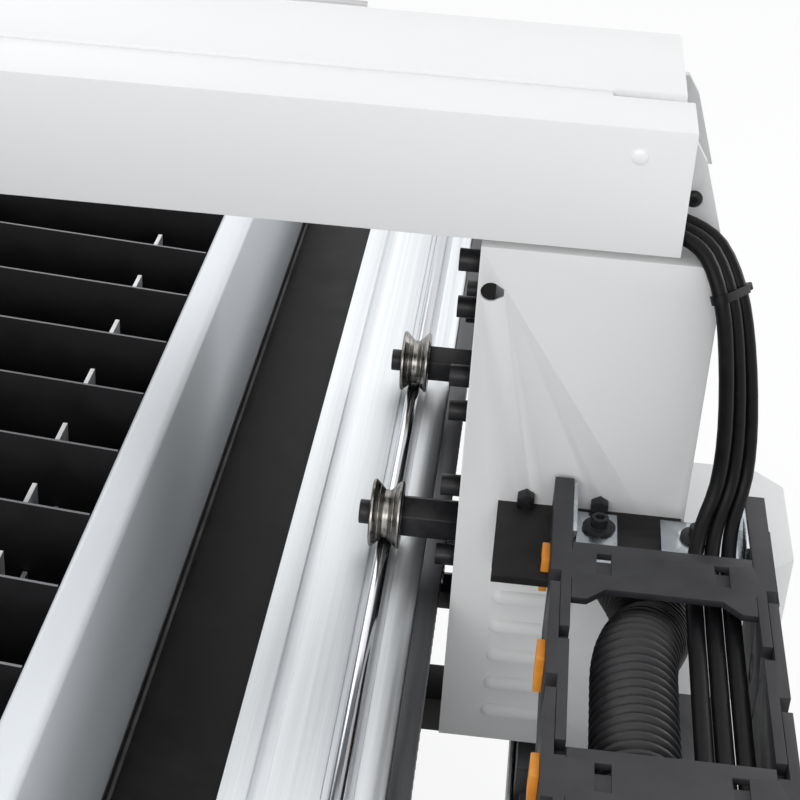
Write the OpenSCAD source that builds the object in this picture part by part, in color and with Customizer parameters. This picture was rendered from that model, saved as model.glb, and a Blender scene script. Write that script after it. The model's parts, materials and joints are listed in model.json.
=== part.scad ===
// Gantry cutting table: a slat bed in a welded frame, two rod rails, and a gantry with a torch carriage.
// Millimetres, +Z up. The origin is on the floor under the middle of the table. X runs along the gantry
// beam and Y along the rails. The gantry stands a little behind the middle, with the torch raised.

/* [Table] */
// distance from the middle of the table to the centre of a guide rod, across
rod_x = 800; // [780:5:860]
// height of the upper wheel axles above the floor
axle_z = 750; // [700:10:850]
// length of the rails, racks and side beams
rail_l = 1640; // [1620:10:1800]
// height of the top edges of the slats above the upper axles
slat_rise = 36; // [34:1:38]

/* [Frame] */
// inner edge of a side beam, inward from the guide rod
beam_in = 165; // [163:1:170]
// outer edge of a side beam, inward from the guide rod
beam_out = 24; // [20:1:28]
// height of a side beam
side_beam_h = 106; // [106:1:112]
// wall of the steel tubes
tube_t = 4; // [3:0.5:6]
// side of the square leg tubes
leg_w = 80; // [60:5:90]
// height of a leg's lower end above the floor
foot_h = 60; // [50:1:80]
// height of the lower cross tubes above the floor
brace_z = 150; // [120:10:200]
// height of the lower cross tubes and stretchers
brace_h = 50; // [40:5:60]
// diameter of a levelling pad
pad_d = 80; // [60:5:90]
// thickness of a levelling pad
pad_t = 14; // [10:1:18]
// diameter of a levelling screw
foot_screw_d = 20; // [16:1:24]
// width across the flats of a levelling lock nut
foot_nut_w = 36; // [30:1:40]
// height of a levelling lock nut
foot_nut_h = 16; // [12:1:18]

/* [Bed] */
// spacing of the slats along the rails
slat_pitch = 69.5; // [66:0.5:72]
// thickness of a slat
slat_t = 2; // [2:0.5:3]
// height of a slat
slat_h = 80; // [70:5:90]
// gap between the slat ends and the side guards
slat_gap = 4; // [3:0.5:6]
// distance of the outer combs from the middle of the table
comb_x = 595; // [580:5:600]
// thickness of a comb plate
comb_t = 3; // [2:0.5:4]
// length of the tooth behind each slat
tooth_l = 27; // [20:1:29]
// height of a tooth above the back of its comb
tooth_h = 44; // [40:1:48]
// depth of the tops of the teeth below the top edges of the slats
tooth_drop = 4; // [2:0.5:6]
// height of the guards above the upper axles
guard_rise = 40; // [38:1:44]
// width of a guard's top face
guard_w = 23; // [18:1:26]
// thickness of the guard sheet
guard_t = 2.5; // [2:0.5:4]
// height of the lip that a guard turns down towards the bed
guard_lip = 18; // [12:1:30]
// thickness of the slag tray sheet
tray_t = 2; // [2:0.5:4]
// height of the slag tray walls
tray_h = 110; // [90:5:130]

/* [Rail] */
// diameter of the guide rods
rod_d = 10; // [10:1:12]
// height of a rod's centre above the face of the rail
rod_rise = 2; // [1.5:0.5:2.5]
// height of the rail section
rail_h = 79; // [76:1:84]
// inner edge of the rail, inward from the rod
rail_in = 61; // [58:1:64]
// outer edge of the rail, outward from the rod
rail_out = 25; // [24:1:26]
// radius of the rounded outer edges of the rail
nose_r = 12; // [10:1:12]
// inner edge of the long groove, inward from the rod
groove_in = 46; // [45:1:48]
// outer edge of the long groove, inward from the rod
groove_out = 37.5; // [36:0.5:40]
// depth of the long groove
groove_h = 5; // [4:1:6]
// half width of the recess that holds a rod
seat_w = 8.5; // [8:0.5:9]
// depth of the recess that holds a rod
seat_h = 1.5; // [1:0.5:2]
// wall of the rail section
rail_t = 6; // [5:0.5:7]
// thickness of a rack, across
rack_w = 12; // [10:1:12]
// height of a rack with its teeth
rack_h = 20; // [18:1:22]
// drop from the upper axles to the top of a rack
rack_drop = 30; // [29:1:32]
// tooth size of the racks and pinions, as a gear module
gear_m = 2.5; // [2.5:0.25:3]
// length of a stop block at the end of the wheels' way
stop_l = 24; // [16:1:24]
// width of a stop block
stop_w = 16; // [12:1:18]
// height of a stop block
stop_h = 34; // [32:1:40]

/* [Wheels] */
// outside diameter of a wheel
wheel_d = 42; // [42:1:42]
// width of a wheel
wheel_w = 19; // [18:0.5:20]
// distance between the two upper wheels of one side
wheel_gap = 194.5; // [190:0.5:200]
// width of a hexagonal standoff across its flats
standoff_w = 24; // [22:1:24]
// diameter of a wheel bolt
axle_d = 10; // [8:1:12]
// diameter of a wheel bolt's head
axle_head_d = 15; // [14:1:17]
// height of a wheel bolt's head
axle_head_h = 7; // [5:1:7]

/* [Gantry ends] */
// place of the gantry's near wheels along the table
rest_y = 10.6; // [0:0.1:20]
// inner face of an end plate, outward from the rod
plate_x = 44.5; // [44:0.5:46]
// thickness of an end plate
plate_t = 10; // [8:1:10]
// how far an end plate reaches past the wheels' axles, along the rails
plate_over = 33; // [32:1:36]
// height of an end plate above the upper axles
plate_up = 192; // [190:1:200]
// depth of an end plate below the upper axles
plate_down = 140; // [138:1:141]
// width of an end cover
cover_w = 132; // [130:1:136]
// thickness of the cover sheet
cover_t = 2; // [1.5:0.5:3]
// width of the cut corner at a cover's upper outer edge
cut_w = 11.5; // [8:0.5:14]
// height of the cut corner at a cover's upper outer edge
cut_h = 23.5; // [18:0.5:26]
// length of a pressed louver
louver_l = 49; // [40:1:52]
// height of a pressed louver
louver_h = 12; // [8:1:14]
// spacing of the louvers
louver_pitch = 22; // [20:1:24]
// diameter of the hole near the top of a cover
port_d = 11.5; // [8:0.5:14]
// place of the motor shafts behind the near wheels
motor_y = 64; // [62:1:66]
// side of the drive motors
motor_w = 80; // [70:2:80]
// side of the drive motors' flanges
motor_flange_w = 86; // [76:2:86]
// thickness of the drive motors' flanges
motor_flange_t = 12; // [8:1:14]
// length of the drive motors behind their flanges
motor_l = 168; // [140:2:170]
// diameter of the pinion shafts
shaft_d = 14; // [10:1:14]
// number of teeth of a drive pinion
pinion_teeth = 16; // [16:1:16]

/* [Beam] */
// depth of the beam tube, along the rails
beam_d = 100; // [90:5:100]
// height of the beam tube
beam_h = 80; // [78:1:84]
// end of the beam tube, outward from the rod
beam_end = 148; // [140:1:150]
// end of the cable duct, outward from the rod
duct_end = 152; // [148:1:156]
// depth of the cable duct
duct_d = 51; // [48:1:52]
// height of the cable duct
duct_h = 72; // [68:1:74]
// gap between the end covers and the duct
duct_lift = 4; // [3:0.5:6]
// thickness of the gusset plates at the beam ends
gusset_t = 6; // [5:0.5:8]
// height of the gusset plates above the end frames
gusset_h = 55; // [50:1:58]
// half length of the cross rails
x_rail_half = 760; // [750:5:780]
// width of a cross rail
x_rail_w = 15; // [12:1:15]
// depth of a cross rail
x_rail_t = 12; // [10:1:12]

/* [Torch] */
// height of the torch carriage plate
head_h = 215; // [210:1:230]
// thickness of the torch carriage plate
head_t = 10; // [8:1:12]
// diameter of the torch body
torch_d = 35; // [30:1:36]
// length of the torch
torch_l = 220; // [200:5:240]
// height of the torch tip above the upper axles
torch_rise = 95; // [93:1:100]
// diameter of the lifting screw
screw_d = 10; // [8:1:12]
// side of the small motors
small_motor_w = 56; // [50:2:56]
// length of the small motors
small_motor_l = 56; // [48:2:60]

/* [Chain] */
// distance between the pins of a chain link
link_pitch = 88; // [88:1:88]
// height of the chain
link_h = 58; // [58:1:58]
// clear width inside the chain
link_in = 98; // [96:1:100]
// thickness of a chain side
link_side = 11; // [10:1:12]
// thickness of a chain cross bar
bar_t = 4; // [3:0.5:4]
// length of a chain cross bar along the chain
bar_l = 41; // [38:1:44]
// number of links in the upper and in the lower run
run_links = 4; // [4:1:4]
// middle of the chain, outward from the rod
chain_x = 159; // [157:1:160]
// thickness of the chain bracket
bracket_t = 5; // [4:0.5:6]
// diameter of the ribbed hose over its ribs
hose_d = 46; // [44:1:46]
// bore of the ribbed hose
hose_bore = 38; // [34:1:38]
// spacing of the hose's ribs
rib_pitch = 6.6; // [6:0.2:8]
// diameter of a cable
cable_d = 8.5; // [7:0.5:9]

/* [Hidden] */
$fn = 48;
// how far a cut runs past the face it opens
over = 1;
// space between faces that pass each other
clear = 0.3;
// radial space of a shaft or pin in its bore
fit = 0.05;
// space round a screw or bolt in its hole
loose = 0.2;

// rail heights, below the upper axles
rod_z = -wheel_d / 2;
rail_top = rod_z - rod_rise;
rail_low = rail_top - rail_h;
rod_low = rail_low - rod_rise;
axle_low = rod_low - wheel_d / 2;
bench_low = rail_low - side_beam_h;
stop_gaps = [167.1, 6.4];
leg_top = axle_z + bench_low;

// legs
leg_x = rod_x - (beam_in + beam_out) / 2;
leg_y = rail_l / 2 - leg_w;

// wheel groove: walls at 45 degrees, just clear of the rod
groove_tip = wheel_d / 2 - (rod_d / 2 + clear) * sqrt(2);
groove_floor = wheel_d / 2 - rod_d / 2 - 3 * clear;
wheel_gap_x = clear;

// bed
bed_half = rail_l / 2 - guard_w;
slat_end = rod_x - beam_in - slat_gap / 2;
tray_half = slat_end;
skew = atan(2 * slat_pitch / (2 * comb_x));
slat_n = floor((bed_half - slat_end * tan(skew) - slat_t) / slat_pitch);
slat_ks = [-slat_n:slat_n];
slat_play = 1;
slat_low = slat_rise - slat_h;
comb_back = slat_rise - tooth_drop - tooth_h;
slot_w = slat_t / cos(skew) + comb_t * tan(skew) + loose;
comb_xs = [-comb_x, 0, comb_x];

// gantry ends
cover_front = -plate_over - cover_t;
cover_back = wheel_gap + plate_over + cover_t;
cover_top = 204;
cover_low = -plate_down;
cover_out = plate_x + cover_w;
frame_top = cover_top - cover_t;
frame_leg_t = 8;
frame_leg_low = 20;
frame_inset = 13;
frame_reach = cover_out - cut_w - cover_t - clear;
port_x = 52;
port_z = 177;
bite_w = 1.5;
bite_h = 4.5;
louver_x = 69.5;
louver_z = -29;
louver_n = 5;
louver_rise = 4;
louver_foot = 2;
screw_spots = [[-14, 185], [16, 140], [-14, 110.5], [16, 69.5], [-14, 35], [-14, -16]];
plate_screw_d = 8;
plate_head_d = 13;
plate_head_h = 12;
plate_screw_l = 17;
plate_key_w = 6;
nut_w = 17;
nut_h = 8;
motor_hole_d = 44;
mesh_gap = 0.5;
motor_drop = rack_drop + rack_h - gear_m + gear_m * pinion_teeth / 2 + mesh_gap;
bay_y = [2.5, 126.5];
bay_z = [-118, -18];
bay_out = 255.4;
bay_cut = 20.5;
bay_cut_share = 2 - sqrt(2);
bay_open = 5;

// beam
duct_back = cover_front + duct_d;
gusset_y = duct_back - gusset_t;
beam_y = duct_back;
beam_back = beam_y + beam_d;
duct_low = cover_top + duct_lift;
gusset_in = 108;
gusset_foot = 170;
gusset_toe = 177;
gusset_neck = 163;
gusset_tip = 156;
gusset_cut = 11;
gusset_hole = [158.5, 224];
gusset_hole_d = 8;

// cross rails and torch carriage
x_rail_zs = [212, 274];
x_rack_z = [246, 258];
x_rack_m = 2;
x_pinion_teeth = 12;
x_pinion_x = -105;
block_half_w = 15;
block_l = 60;
block_xs = [-45, 65];
block_y = [3, 26];
head_low = 195;
head_x = [-136, 96];
z_rail_w = 20;
z_rail_t = 12;
z_rail_z = [200, 396];
slide_half = 35;
slide_z = [230, 300];
slide_t = 26;
arm_t = 10;
arm_low = 110;
clamp_z = [122, 160];
clamp_t = 8;
screw_x = 62;
ear_x = 82;
ear_t = 20;
screw_y = 20;
foot_block = [50, 76];
foot_block_d = 36;
foot_block_h = 16;
shelf_t = 8;
shelf_d = 66;
shelf_x = [30, 95];
head_back = beam_back + block_y[1];
head_front = head_back + head_t;
torch_y = head_front + slide_t + arm_t + torch_d / 2 + clamp_t;
head_top = head_low + head_h;
small_shaft_d = 8;
x_pinion_z = x_rack_z[0] + x_rack_m - x_rack_m * x_pinion_teeth / 2;

// torch outline as shares of its radius and length, from the tip up
torch_shares = [[0.22, 0], [0.34, 0], [0.66, 0.07], [0.80, 0.08], [0.80, 0.115], [1, 0.12], [1, 0.82],
    [0.90, 0.83], [0.90, 0.90], [0.62, 0.92], [0.50, 1]];
torch_bore_shares = [[0.50, 0.98], [0.22, 0.98]];

// chain places, from the near upper axle of the right side
chain_top = 65;
chain_mid = chain_top - link_h / 2;
end_pin_y = -161;
end_far_y = -40;
turn = 45;
run_end_y = end_pin_y - run_links * link_pitch;
bend_h = link_pitch * (1 + 2 * sin(turn));
low_mid = chain_mid - bend_h;
bend_share = 0.409;
bend_y = run_end_y + link_pitch * bend_share;
lap_t = (link_side - clear) / 2;
pin_d = 14;
lap_corner = 19;
bar_neck_l = 26;
bar_foot_w = 8;
bar_foot_l = 10;
bar_shift = 7.5;
recess_l = 19;
recess_t = 1.5;
bar_hole_l = 8;
bar_hole_w = 6;
bar_hole_x = 31.7;
bar_hole_shift = 8.5;
bracket_x = [67.5, 226];
bracket_y = [-110, -40];
bracket_top = 41.6;
leg_low = -4;
leg_out = 118;
angle_y = [-91, -42];
angle_w = 27;
angle_h = 22;
angle_t = 2.5;
slot_d = 6.6;
slot_l = 11;
angle_wide = 46;
angle_screws = [-32.5, 23.5];
angle_screw_y = -57;
angle_screw_d = 6;
angle_head_d = 10;
angle_head_h = 6;
angle_key_w = 5;
washer_d = 19;
washer_t = 1.6;
cover_bolt_xs = [83.5, 126.5];
cover_bolt_z = 46;
bracket_bolt_xs = [83.5, 104];
bracket_bolt_z = 14;
bolt_spots = [for (x = cover_bolt_xs) [x, cover_bolt_z], for (x = bracket_bolt_xs) [x, bracket_bolt_z]];
cover_bolt_w = 10;
cover_bolt_h = 6.4;
cover_bolt_d = 6;
hose_x = 146;
hose_sway = 14;
sway_share = 0.7;
hose_sway_y = [-44, -185];
gland_z = 8;
gland_d = 54;
gland_t = 10;
hose_start_y = -30;
hose_rise_r = 105.6;
hose_lead = 50;
hose_mid = chain_mid - 2 * fit;
cable_xs = [177.6, 187.5, 197.4];
cable_z = 49;
cable_start_y = -112.5;
leads_end_y = -30;
hose_sides = 8;
cable_sides = 8;

// the hose's way: it rises in two arcs, runs level, bends round and runs back below
rise_angle = acos(1 - (hose_mid - gland_z) / (2 * hose_rise_r));
rise_l = hose_rise_r * rise_angle * PI / 180;
hose_level_y = hose_start_y - hose_lead - 2 * hose_rise_r * sin(rise_angle);
upper_l = hose_lead + 2 * rise_l + hose_level_y - bend_y;
low_hose = low_mid + 2 * fit;
hose_bend_r = 99;
bend_top = hose_mid - hose_bend_r;
bend_straight = hose_mid - low_hose - 2 * hose_bend_r;

// places of a rib's top and of the valley after it, within its spacing
rib_shares = [0.35, 0.85];

// chain tray and junction box
trough_in = 92;
trough_out = 228;
trough_wall = 34;
trough_y = [-rail_l / 2, 150];
arm_inset = 130;
arm_last = 110;
arm_shares = [0, 0.3875, 0.7875, 1];
arm_ys = [for (f = arm_shares) (1 - f) * (arm_inset - rail_l / 2) + f * arm_last];
arm_w = 40;
arm_h = 30;
box_y = [-38, 130];
box_h = 54;
box_t = 3;
lid_t = 3;
lead_port_x = [118, 206];
lead_port_low = -202;

// how the leads leave the duct and reach the chain: points from the near upper axle of the right side
drop_route = [
    [118, -12, 218], [140, -13, 218], [156, -16, 216], [170, -26, 210], [181, -38, 191], [189, -44, 160],
    [195.5, -49, 117], [196.5, -55, 84], [191, -68, 62], [188.5, -86, 52], [188, -101, 49], [187.5, -112, 49]];
drop_spread = 9.9;

// share of the gear pitch that a tooth takes at its foot and at its tip
foot_share = 0.44;
tip_share = 0.2;

// Helpers

// a box between two limits on each axis
module block(x, y, z) {
    translate([x[0], y[0], z[0]]) cube([x[1] - x[0], y[1] - y[0], z[1] - z[0]]);
}

// the right rail's frame: x from the rod outward, z from the upper axles
module right_side() {
    translate([rod_x, 0, axle_z]) children();
}

module left_side() {
    mirror([1, 0, 0]) right_side() children();
}

module both_sides() {
    right_side() children();
    left_side() children();
}

// what rides with the gantry, y from the near axles
module riding() {
    translate([0, rest_y, 0]) children();
}

// the gantry's own frame on the table's middle line
module on_beam() {
    translate([0, rest_y, axle_z]) children();
}

// a rod along x from its lower end
module rod_along_x(d, l) {
    rotate([0, 90, 0]) cylinder(d = d, h = l);
}

module rod_along_y(d, l) {
    rotate([-90, 0, 0]) cylinder(d = d, h = l);
}

// a hexagonal bar along x from its lower end
module hex_along_x(w, l) {
    rotate([0, 90, 0]) cylinder(d = w / cos(30), h = l, $fn = 6);
}

// a steel tube between two limits on each axis, open along one axis
module tube(x, y, z, along) {
    ax = along == 0 ? over : -tube_t;
    ay = along == 1 ? over : -tube_t;
    az = along == 2 ? over : -tube_t;
    difference() {
        block(x, y, z);
        block([x[0] - ax, x[1] + ax], [y[0] - ay, y[1] + ay], [z[0] - az, z[1] + az]);
    }
}

// Frame

// legs of one end with their two cross tubes
module leg_frame() {
    ys = [-leg_y - leg_w, -leg_y];
    for (s = [-1, 1]) {
        translate([s * leg_x, 0, 0])
            tube([-leg_w / 2, leg_w / 2], ys, [foot_h, leg_top], 2);
        translate([s * leg_x, 0, 0])
            difference() {
                block([-leg_w / 2, leg_w / 2], ys, [foot_h, foot_h + tube_t]);
                translate([0, -leg_y - leg_w / 2, foot_h - over])
                    cylinder(d = foot_screw_d + 2 * loose, h = tube_t + 2 * over);
            }
    }
    span = [-leg_x + leg_w / 2, leg_x - leg_w / 2];
    tube(span, ys, [leg_top - leg_w, leg_top], 0);
    tube(span, ys, [brace_z, brace_z + brace_h], 0);
}

module front_leg_frame() {
    color([0.86, 0.86, 0.86]) leg_frame();
}

module rear_leg_frame() {
    color([0.86, 0.86, 0.86]) mirror([0, 1, 0]) leg_frame();
}

// black box beams that carry the rails
module side_beams() {
    color([0.08, 0.08, 0.08]) both_sides()
        tube([-beam_in, -beam_out], [-rail_l / 2, rail_l / 2], [bench_low, rail_low], 1);
}

// low tubes between the front and the rear legs
module stretchers() {
    color([0.86, 0.86, 0.86]) for (s = [-1, 1])
        translate([s * leg_x, 0, 0])
            tube([-brace_h / 2, brace_h / 2], [-leg_y, leg_y], [brace_z, brace_z + brace_h], 1);
}

// screwed feet with round pads
module levelling_feet() {
    foot_y = leg_y + leg_w / 2;
    color([0.16, 0.16, 0.17]) for (sx = [-1, 1], sy = [-1, 1])
        translate([sx * leg_x, sy * foot_y, 0]) {
            cylinder(d = pad_d, h = pad_t);
            cylinder(d = foot_screw_d, h = foot_h + 2 * foot_nut_h);
            translate([0, 0, foot_h - foot_nut_h])
                cylinder(d = foot_nut_w / cos(30), h = foot_nut_h, $fn = 6);
        }
}

// Bed

// open tray under the slats
module slag_tray() {
    x = [-tray_half, tray_half];
    y = [-bed_half, bed_half];
    z = [leg_top, leg_top + tray_h];
    color([0.12, 0.11, 0.10]) difference() {
        block(x, y, z);
        block([x[0] + tray_t, x[1] - tray_t], [y[0] + tray_t, y[1] - tray_t],
            [z[0] + tray_t, z[1] + over]);
    }
}

// section of a guard: a wall, a top face and a lip towards the bed
module guard_section() {
    h = guard_rise - rail_low;
    difference() {
        square([guard_w, h]);
        translate([-over, -over]) square([guard_w - guard_t + over, h - guard_lip + over]);
        translate([guard_t, -over]) square([guard_w - 2 * guard_t, h - guard_t + over]);
    }
}

module side_guards() {
    color([0.90, 0.90, 0.91]) both_sides()
        translate([-beam_in + slat_gap / 2, rail_l / 2, rail_low])
            rotate([90, 0, 0]) linear_extrude(rail_l) guard_section();
}

module end_guards() {
    half = rod_x - beam_in + slat_gap / 2;
    color([0.90, 0.90, 0.91]) for (s = [0, 1])
        mirror([0, s, 0]) translate([-half, bed_half, axle_z + rail_low])
            rotate([90, 0, 90]) linear_extrude(2 * half) guard_section();
}

// the plates that hold the slats: a slot at each slat and a tooth behind it
module comb_plate(x) {
    low = leg_top + tray_t;
    h = axle_z + comb_back - low;
    half = bed_half - tray_t - loose;
    translate([x - comb_t / 2, 0, low])
        rotate([90, 0, 90]) linear_extrude(comb_t) difference() {
            union() {
                translate([-half, 0]) square([2 * half, h]);
                for (k = slat_ks) translate([k * slat_pitch - x * tan(skew), h])
                    translate([0, -over]) square([tooth_l, tooth_h + over]);
            }
            for (k = slat_ks)
                translate([k * slat_pitch - x * tan(skew) - slot_w / 2, axle_z + slat_low - low])
                    square([slot_w, slat_h + over]);
        }
}

module combs() {
    color([0.55, 0.55, 0.55]) for (x = comb_xs) comb_plate(x);
}

// thin plates that carry the work, set askew by two comb slots
module slats() {
    l = 2 * (slat_end + slat_gap - slat_play) / cos(skew) - slat_t * tan(skew);
    color([0.07, 0.07, 0.07]) for (k = slat_ks)
        translate([0, k * slat_pitch, axle_z + slat_low])
            rotate([0, 0, -skew]) translate([-l / 2, -slat_t / 2, 0]) cube([l, slat_t, slat_h]);
}

// Rails

// one half of the rail section's openings, from its upper face down
module rail_cuts() {
    translate([-groove_in, -groove_h]) square([groove_in - groove_out, groove_h + over]);
    translate([-seat_w, -seat_h]) square([2 * seat_w, seat_h + over]);
    translate([0, rod_rise]) circle(d = rod_d + 2 * fit);
}

module rail_section() {
    depth = rail_h;
    difference() {
        union() {
            translate([-rail_in, -depth]) square([rail_in + rail_out - nose_r, depth]);
            translate([-rail_in, nose_r - depth]) square([rail_in + rail_out, depth - 2 * nose_r]);
            for (v = [-nose_r, nose_r - depth])
                translate([rail_out - nose_r, v]) circle(r = nose_r);
        }
        rail_cuts();
        translate([0, -depth]) mirror([0, 1]) rail_cuts();
        translate([rail_t - rail_in, 2 * rail_t - depth])
            square([rail_in - groove_out, depth - 4 * rail_t]);
        translate([2 * rail_t - groove_out, 2 * rail_t - depth])
            square([groove_out + rail_out - 3 * rail_t, depth - 4 * rail_t]);
    }
}

// pale extrusions on the side beams
module rails() {
    color([0.80, 0.80, 0.82]) both_sides()
        translate([0, rail_l / 2, rail_top]) rotate([90, 0, 0]) linear_extrude(rail_l) rail_section();
}

// hardened rods above and below each rail
module rail_rods() {
    color([0.72, 0.72, 0.74]) both_sides() for (z = [rod_z, rod_low])
        translate([0, -rail_l / 2, z]) rod_along_y(rod_d, rail_l);
}

// a rack as an outline along its length with the teeth downward, from the upper face
module rack_outline(l, h, m) {
    pitch = m * PI;
    n = floor(l / pitch / 2) - 1;
    root = 2 * m;
    union() {
        translate([-l / 2, root - h]) square([l, h - root]);
        for (k = [-n:n])
            translate([k * pitch, root - h])
                polygon([[-pitch * foot_share / 2, over / 2], [-pitch * foot_share / 2, 0],
                    [-pitch * tip_share / 2, -root], [pitch * tip_share / 2, -root],
                    [pitch * foot_share / 2, 0], [pitch * foot_share / 2, over / 2]]);
    }
}

module racks() {
    color([0.14, 0.14, 0.15]) both_sides()
        translate([rail_out, motor_y + rest_y, -rack_drop])
            rotate([90, 0, 90]) linear_extrude(rack_w)
                intersection() {
                    rack_outline(2 * rail_l, rack_h, gear_m);
                    translate([-rail_l / 2 - motor_y - rest_y, -rack_h])
                        square([rail_l, rack_h + over]);
                }
}

// a pinion with its shaft along x; a gap between two teeth faces straight up
module pinion(m, n, w) {
    pitch = m * PI;
    r = m * n / 2;
    root = r - m - clear;
    rotate([90, 0, 90]) linear_extrude(w) union() {
        circle(r = root);
        for (k = [0:n - 1])
            rotate(90 + (k + 0.5) * 360 / n)
                translate([root, 0])
                    polygon([[-m, -pitch * foot_share / 2], [0, -pitch * foot_share / 2],
                        [2 * m - clear, -pitch * tip_share / 2], [2 * m - clear, pitch * tip_share / 2],
                        [0, pitch * foot_share / 2], [-m, pitch * foot_share / 2]]);
    }
}

// blocks that the wheel bolts meet at the ends of the way
module end_stops() {
    near = wheel_w / 2 + 2 * clear;
    x = [-near - stop_w, -near];
    front = stop_gaps[0] - rail_l / 2;
    back = rail_l / 2 - stop_gaps[1];
    color([0.10, 0.10, 0.10]) both_sides() {
        block(x, [front, front + stop_l], [rail_top, rail_top + stop_h]);
        block(x, [back - stop_l, back], [rail_top, rail_top + stop_h]);
    }
}

// Chain tray and junction box

// folded channel beside the right rail, under the chain
module chain_tray() {
    z = bench_low;
    color([0.84, 0.84, 0.85]) right_side() difference() {
        block([trough_in, trough_out], trough_y, [z, z + trough_wall]);
        block([trough_in + tray_t, trough_out - tray_t], [trough_y[0] - over, trough_y[1] + over],
            [z + tray_t, z + trough_wall + over]);
    }
}

// tubes that carry the tray from the side beam
module tray_arms() {
    color([0.08, 0.08, 0.08]) right_side() for (y = arm_ys)
        tube([-beam_in, trough_out], [y - arm_w / 2, y + arm_w / 2], [bench_low - arm_h, bench_low], 0);
}

// open-topped box at the chain's fixed end
module junction_box() {
    x = [trough_in + 2 * tray_t, trough_out - 2 * tray_t];
    z = bench_low + tray_t;
    color([0.22, 0.23, 0.24]) right_side() difference() {
        block(x, box_y, [z, z + box_h]);
        block([x[0] + box_t, x[1] - box_t], [box_y[0] + box_t, box_y[1] - box_t],
            [z + box_t, z + box_h + over]);
        block(lead_port_x, [box_y[0] - over, box_y[0] + box_t + over], [lead_port_low, z + box_h + over]);
    }
}

module junction_lid() {
    x = [trough_in + 2 * tray_t, trough_out - 2 * tray_t];
    z = bench_low + tray_t + box_h;
    color([0.24, 0.25, 0.26]) right_side() block(x, box_y, [z, z + lid_t]);
}

// Gantry ends, drawn for the right and mirrored for the left

module plate_holes() {
    for (p = screw_spots, s = [0, 1])
        translate([plate_x - over, s == 0 ? p[0] : wheel_gap - p[0], p[1]])
            rod_along_x(plate_screw_d + 2 * loose, plate_t + 2 * over);
    for (p = [[0, 0], [wheel_gap, 0], [wheel_gap / 2, axle_low]])
        translate([plate_x - over, p[0], p[1]]) rod_along_x(axle_d + 2 * loose, plate_t + 2 * over);
    translate([plate_x - over, motor_y, -motor_drop]) rod_along_x(motor_hole_d, plate_t + 2 * over);
}

module end_plate() {
    difference() {
        block([plate_x, plate_x + plate_t], [-plate_over, wheel_gap + plate_over], [-plate_down, plate_up]);
        plate_holes();
    }
}

module left_end_plate() {
    color([0.10, 0.10, 0.10]) left_side() riding() end_plate();
}

module right_end_plate() {
    color([0.10, 0.10, 0.10]) right_side() riding() end_plate();
}

// gusset with a sloping outer edge
module gusset(y) {
    top = frame_top + gusset_h;
    translate([0, y + gusset_t, 0]) rotate([90, 0, 0]) linear_extrude(gusset_t) difference() {
        polygon([[gusset_in, frame_top - over], [gusset_foot, frame_top - over], [gusset_foot, frame_top],
            [gusset_toe, frame_top], [gusset_neck, top - gusset_cut], [gusset_tip, top], [gusset_in, top]]);
        translate(gusset_hole) circle(d = gusset_hole_d);
    }
}

// angle frame inside each cover: a leg on the end plate, a top plate under the beam and two gussets
module end_frame() {
    in_x = plate_x + plate_t;
    y = [-plate_over + frame_inset, wheel_gap + plate_over - frame_inset];
    difference() {
        union() {
            block([in_x, in_x + frame_leg_t], y, [frame_leg_low, plate_up]);
            block([plate_x, frame_reach], y, [plate_up, frame_top]);
            gusset(gusset_y);
            gusset(beam_back);
        }
        for (p = screw_spots, s = [0, 1])
            translate([in_x - over, s == 0 ? p[0] : wheel_gap - p[0], p[1]])
                rod_along_x(plate_screw_d + 2 * loose, frame_leg_t + 2 * over);
    }
}

module end_frames() {
    color([0.78, 0.78, 0.78]) both_sides() riding() end_frame();
}

// outline of an end cover seen from the front
module cover_outline(inset) {
    past = inset > 0 ? over : 0;
    x = [plate_x - past, cover_out - inset];
    z = [cover_low - past, cover_top - inset];
    polygon([[x[0], z[0]], [x[1], z[0]], [x[1], z[1] - cut_h], [x[1] - cut_w, z[1]], [x[0], z[1]]]);
}

// pressed louver: half of a long rounded bump
module louver(z) {
    translate([louver_x + louver_h / 2, cover_front, z])
        intersection() {
            hull() for (x = [0, louver_l - louver_h]) translate([x, 0, 0])
                scale([1, 2 * louver_rise / louver_h, 1]) sphere(d = louver_h, $fn = 16);
            block([-louver_h, louver_l], [-louver_h, fit], [-louver_foot, louver_h]);
        }
}

// small widening at one side of the port, drawn from the port's middle
module port_bite() {
    r = port_d / 2;
    translate([0, cover_t + 2 * over, 0]) rotate([90, 0, 0]) linear_extrude(cover_t + 2 * over)
        polygon([[0, 0], [r * cos(turn), -r * sin(turn)], [r + bite_w, -bite_h / 2], [r + bite_w, bite_h / 2],
            [r * cos(turn), r * sin(turn)]]);
}

module end_cover() {
    difference() {
        union() {
            translate([0, cover_back, 0]) rotate([90, 0, 0])
                linear_extrude(cover_back - cover_front) cover_outline(0);
            for (k = [0:louver_n - 1]) louver(louver_z - k * louver_pitch);
        }
        translate([0, cover_back - cover_t, 0]) rotate([90, 0, 0])
            linear_extrude(cover_back - cover_front - 2 * cover_t) cover_outline(cover_t);
        // way in for the beam and its gussets
        block([plate_x - over, cover_out + over], [gusset_y - clear, beam_back + gusset_t + clear],
            [frame_top - cut_h, cover_top + over]);
        // window for the motor
        block([cover_out - cover_t - over, cover_out + over], [bay_y[0] + bay_open, bay_y[1] - bay_open],
            [bay_z[0] + bay_open, bay_z[1] - bay_open]);
        // round port with a small widening at its side
        translate([port_x, cover_front - over, port_z]) {
            rod_along_y(port_d, cover_t + 2 * over);
            port_bite();
        }
        translate([hose_x, cover_front - over, gland_z]) rod_along_y(hose_d + 4 * clear, cover_t + 2 * over);
        for (b = bolt_spots) translate([b[0], cover_front - over, b[1]])
            rod_along_y(cover_bolt_d + 2 * loose, cover_t + 2 * over);
    }
}

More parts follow.
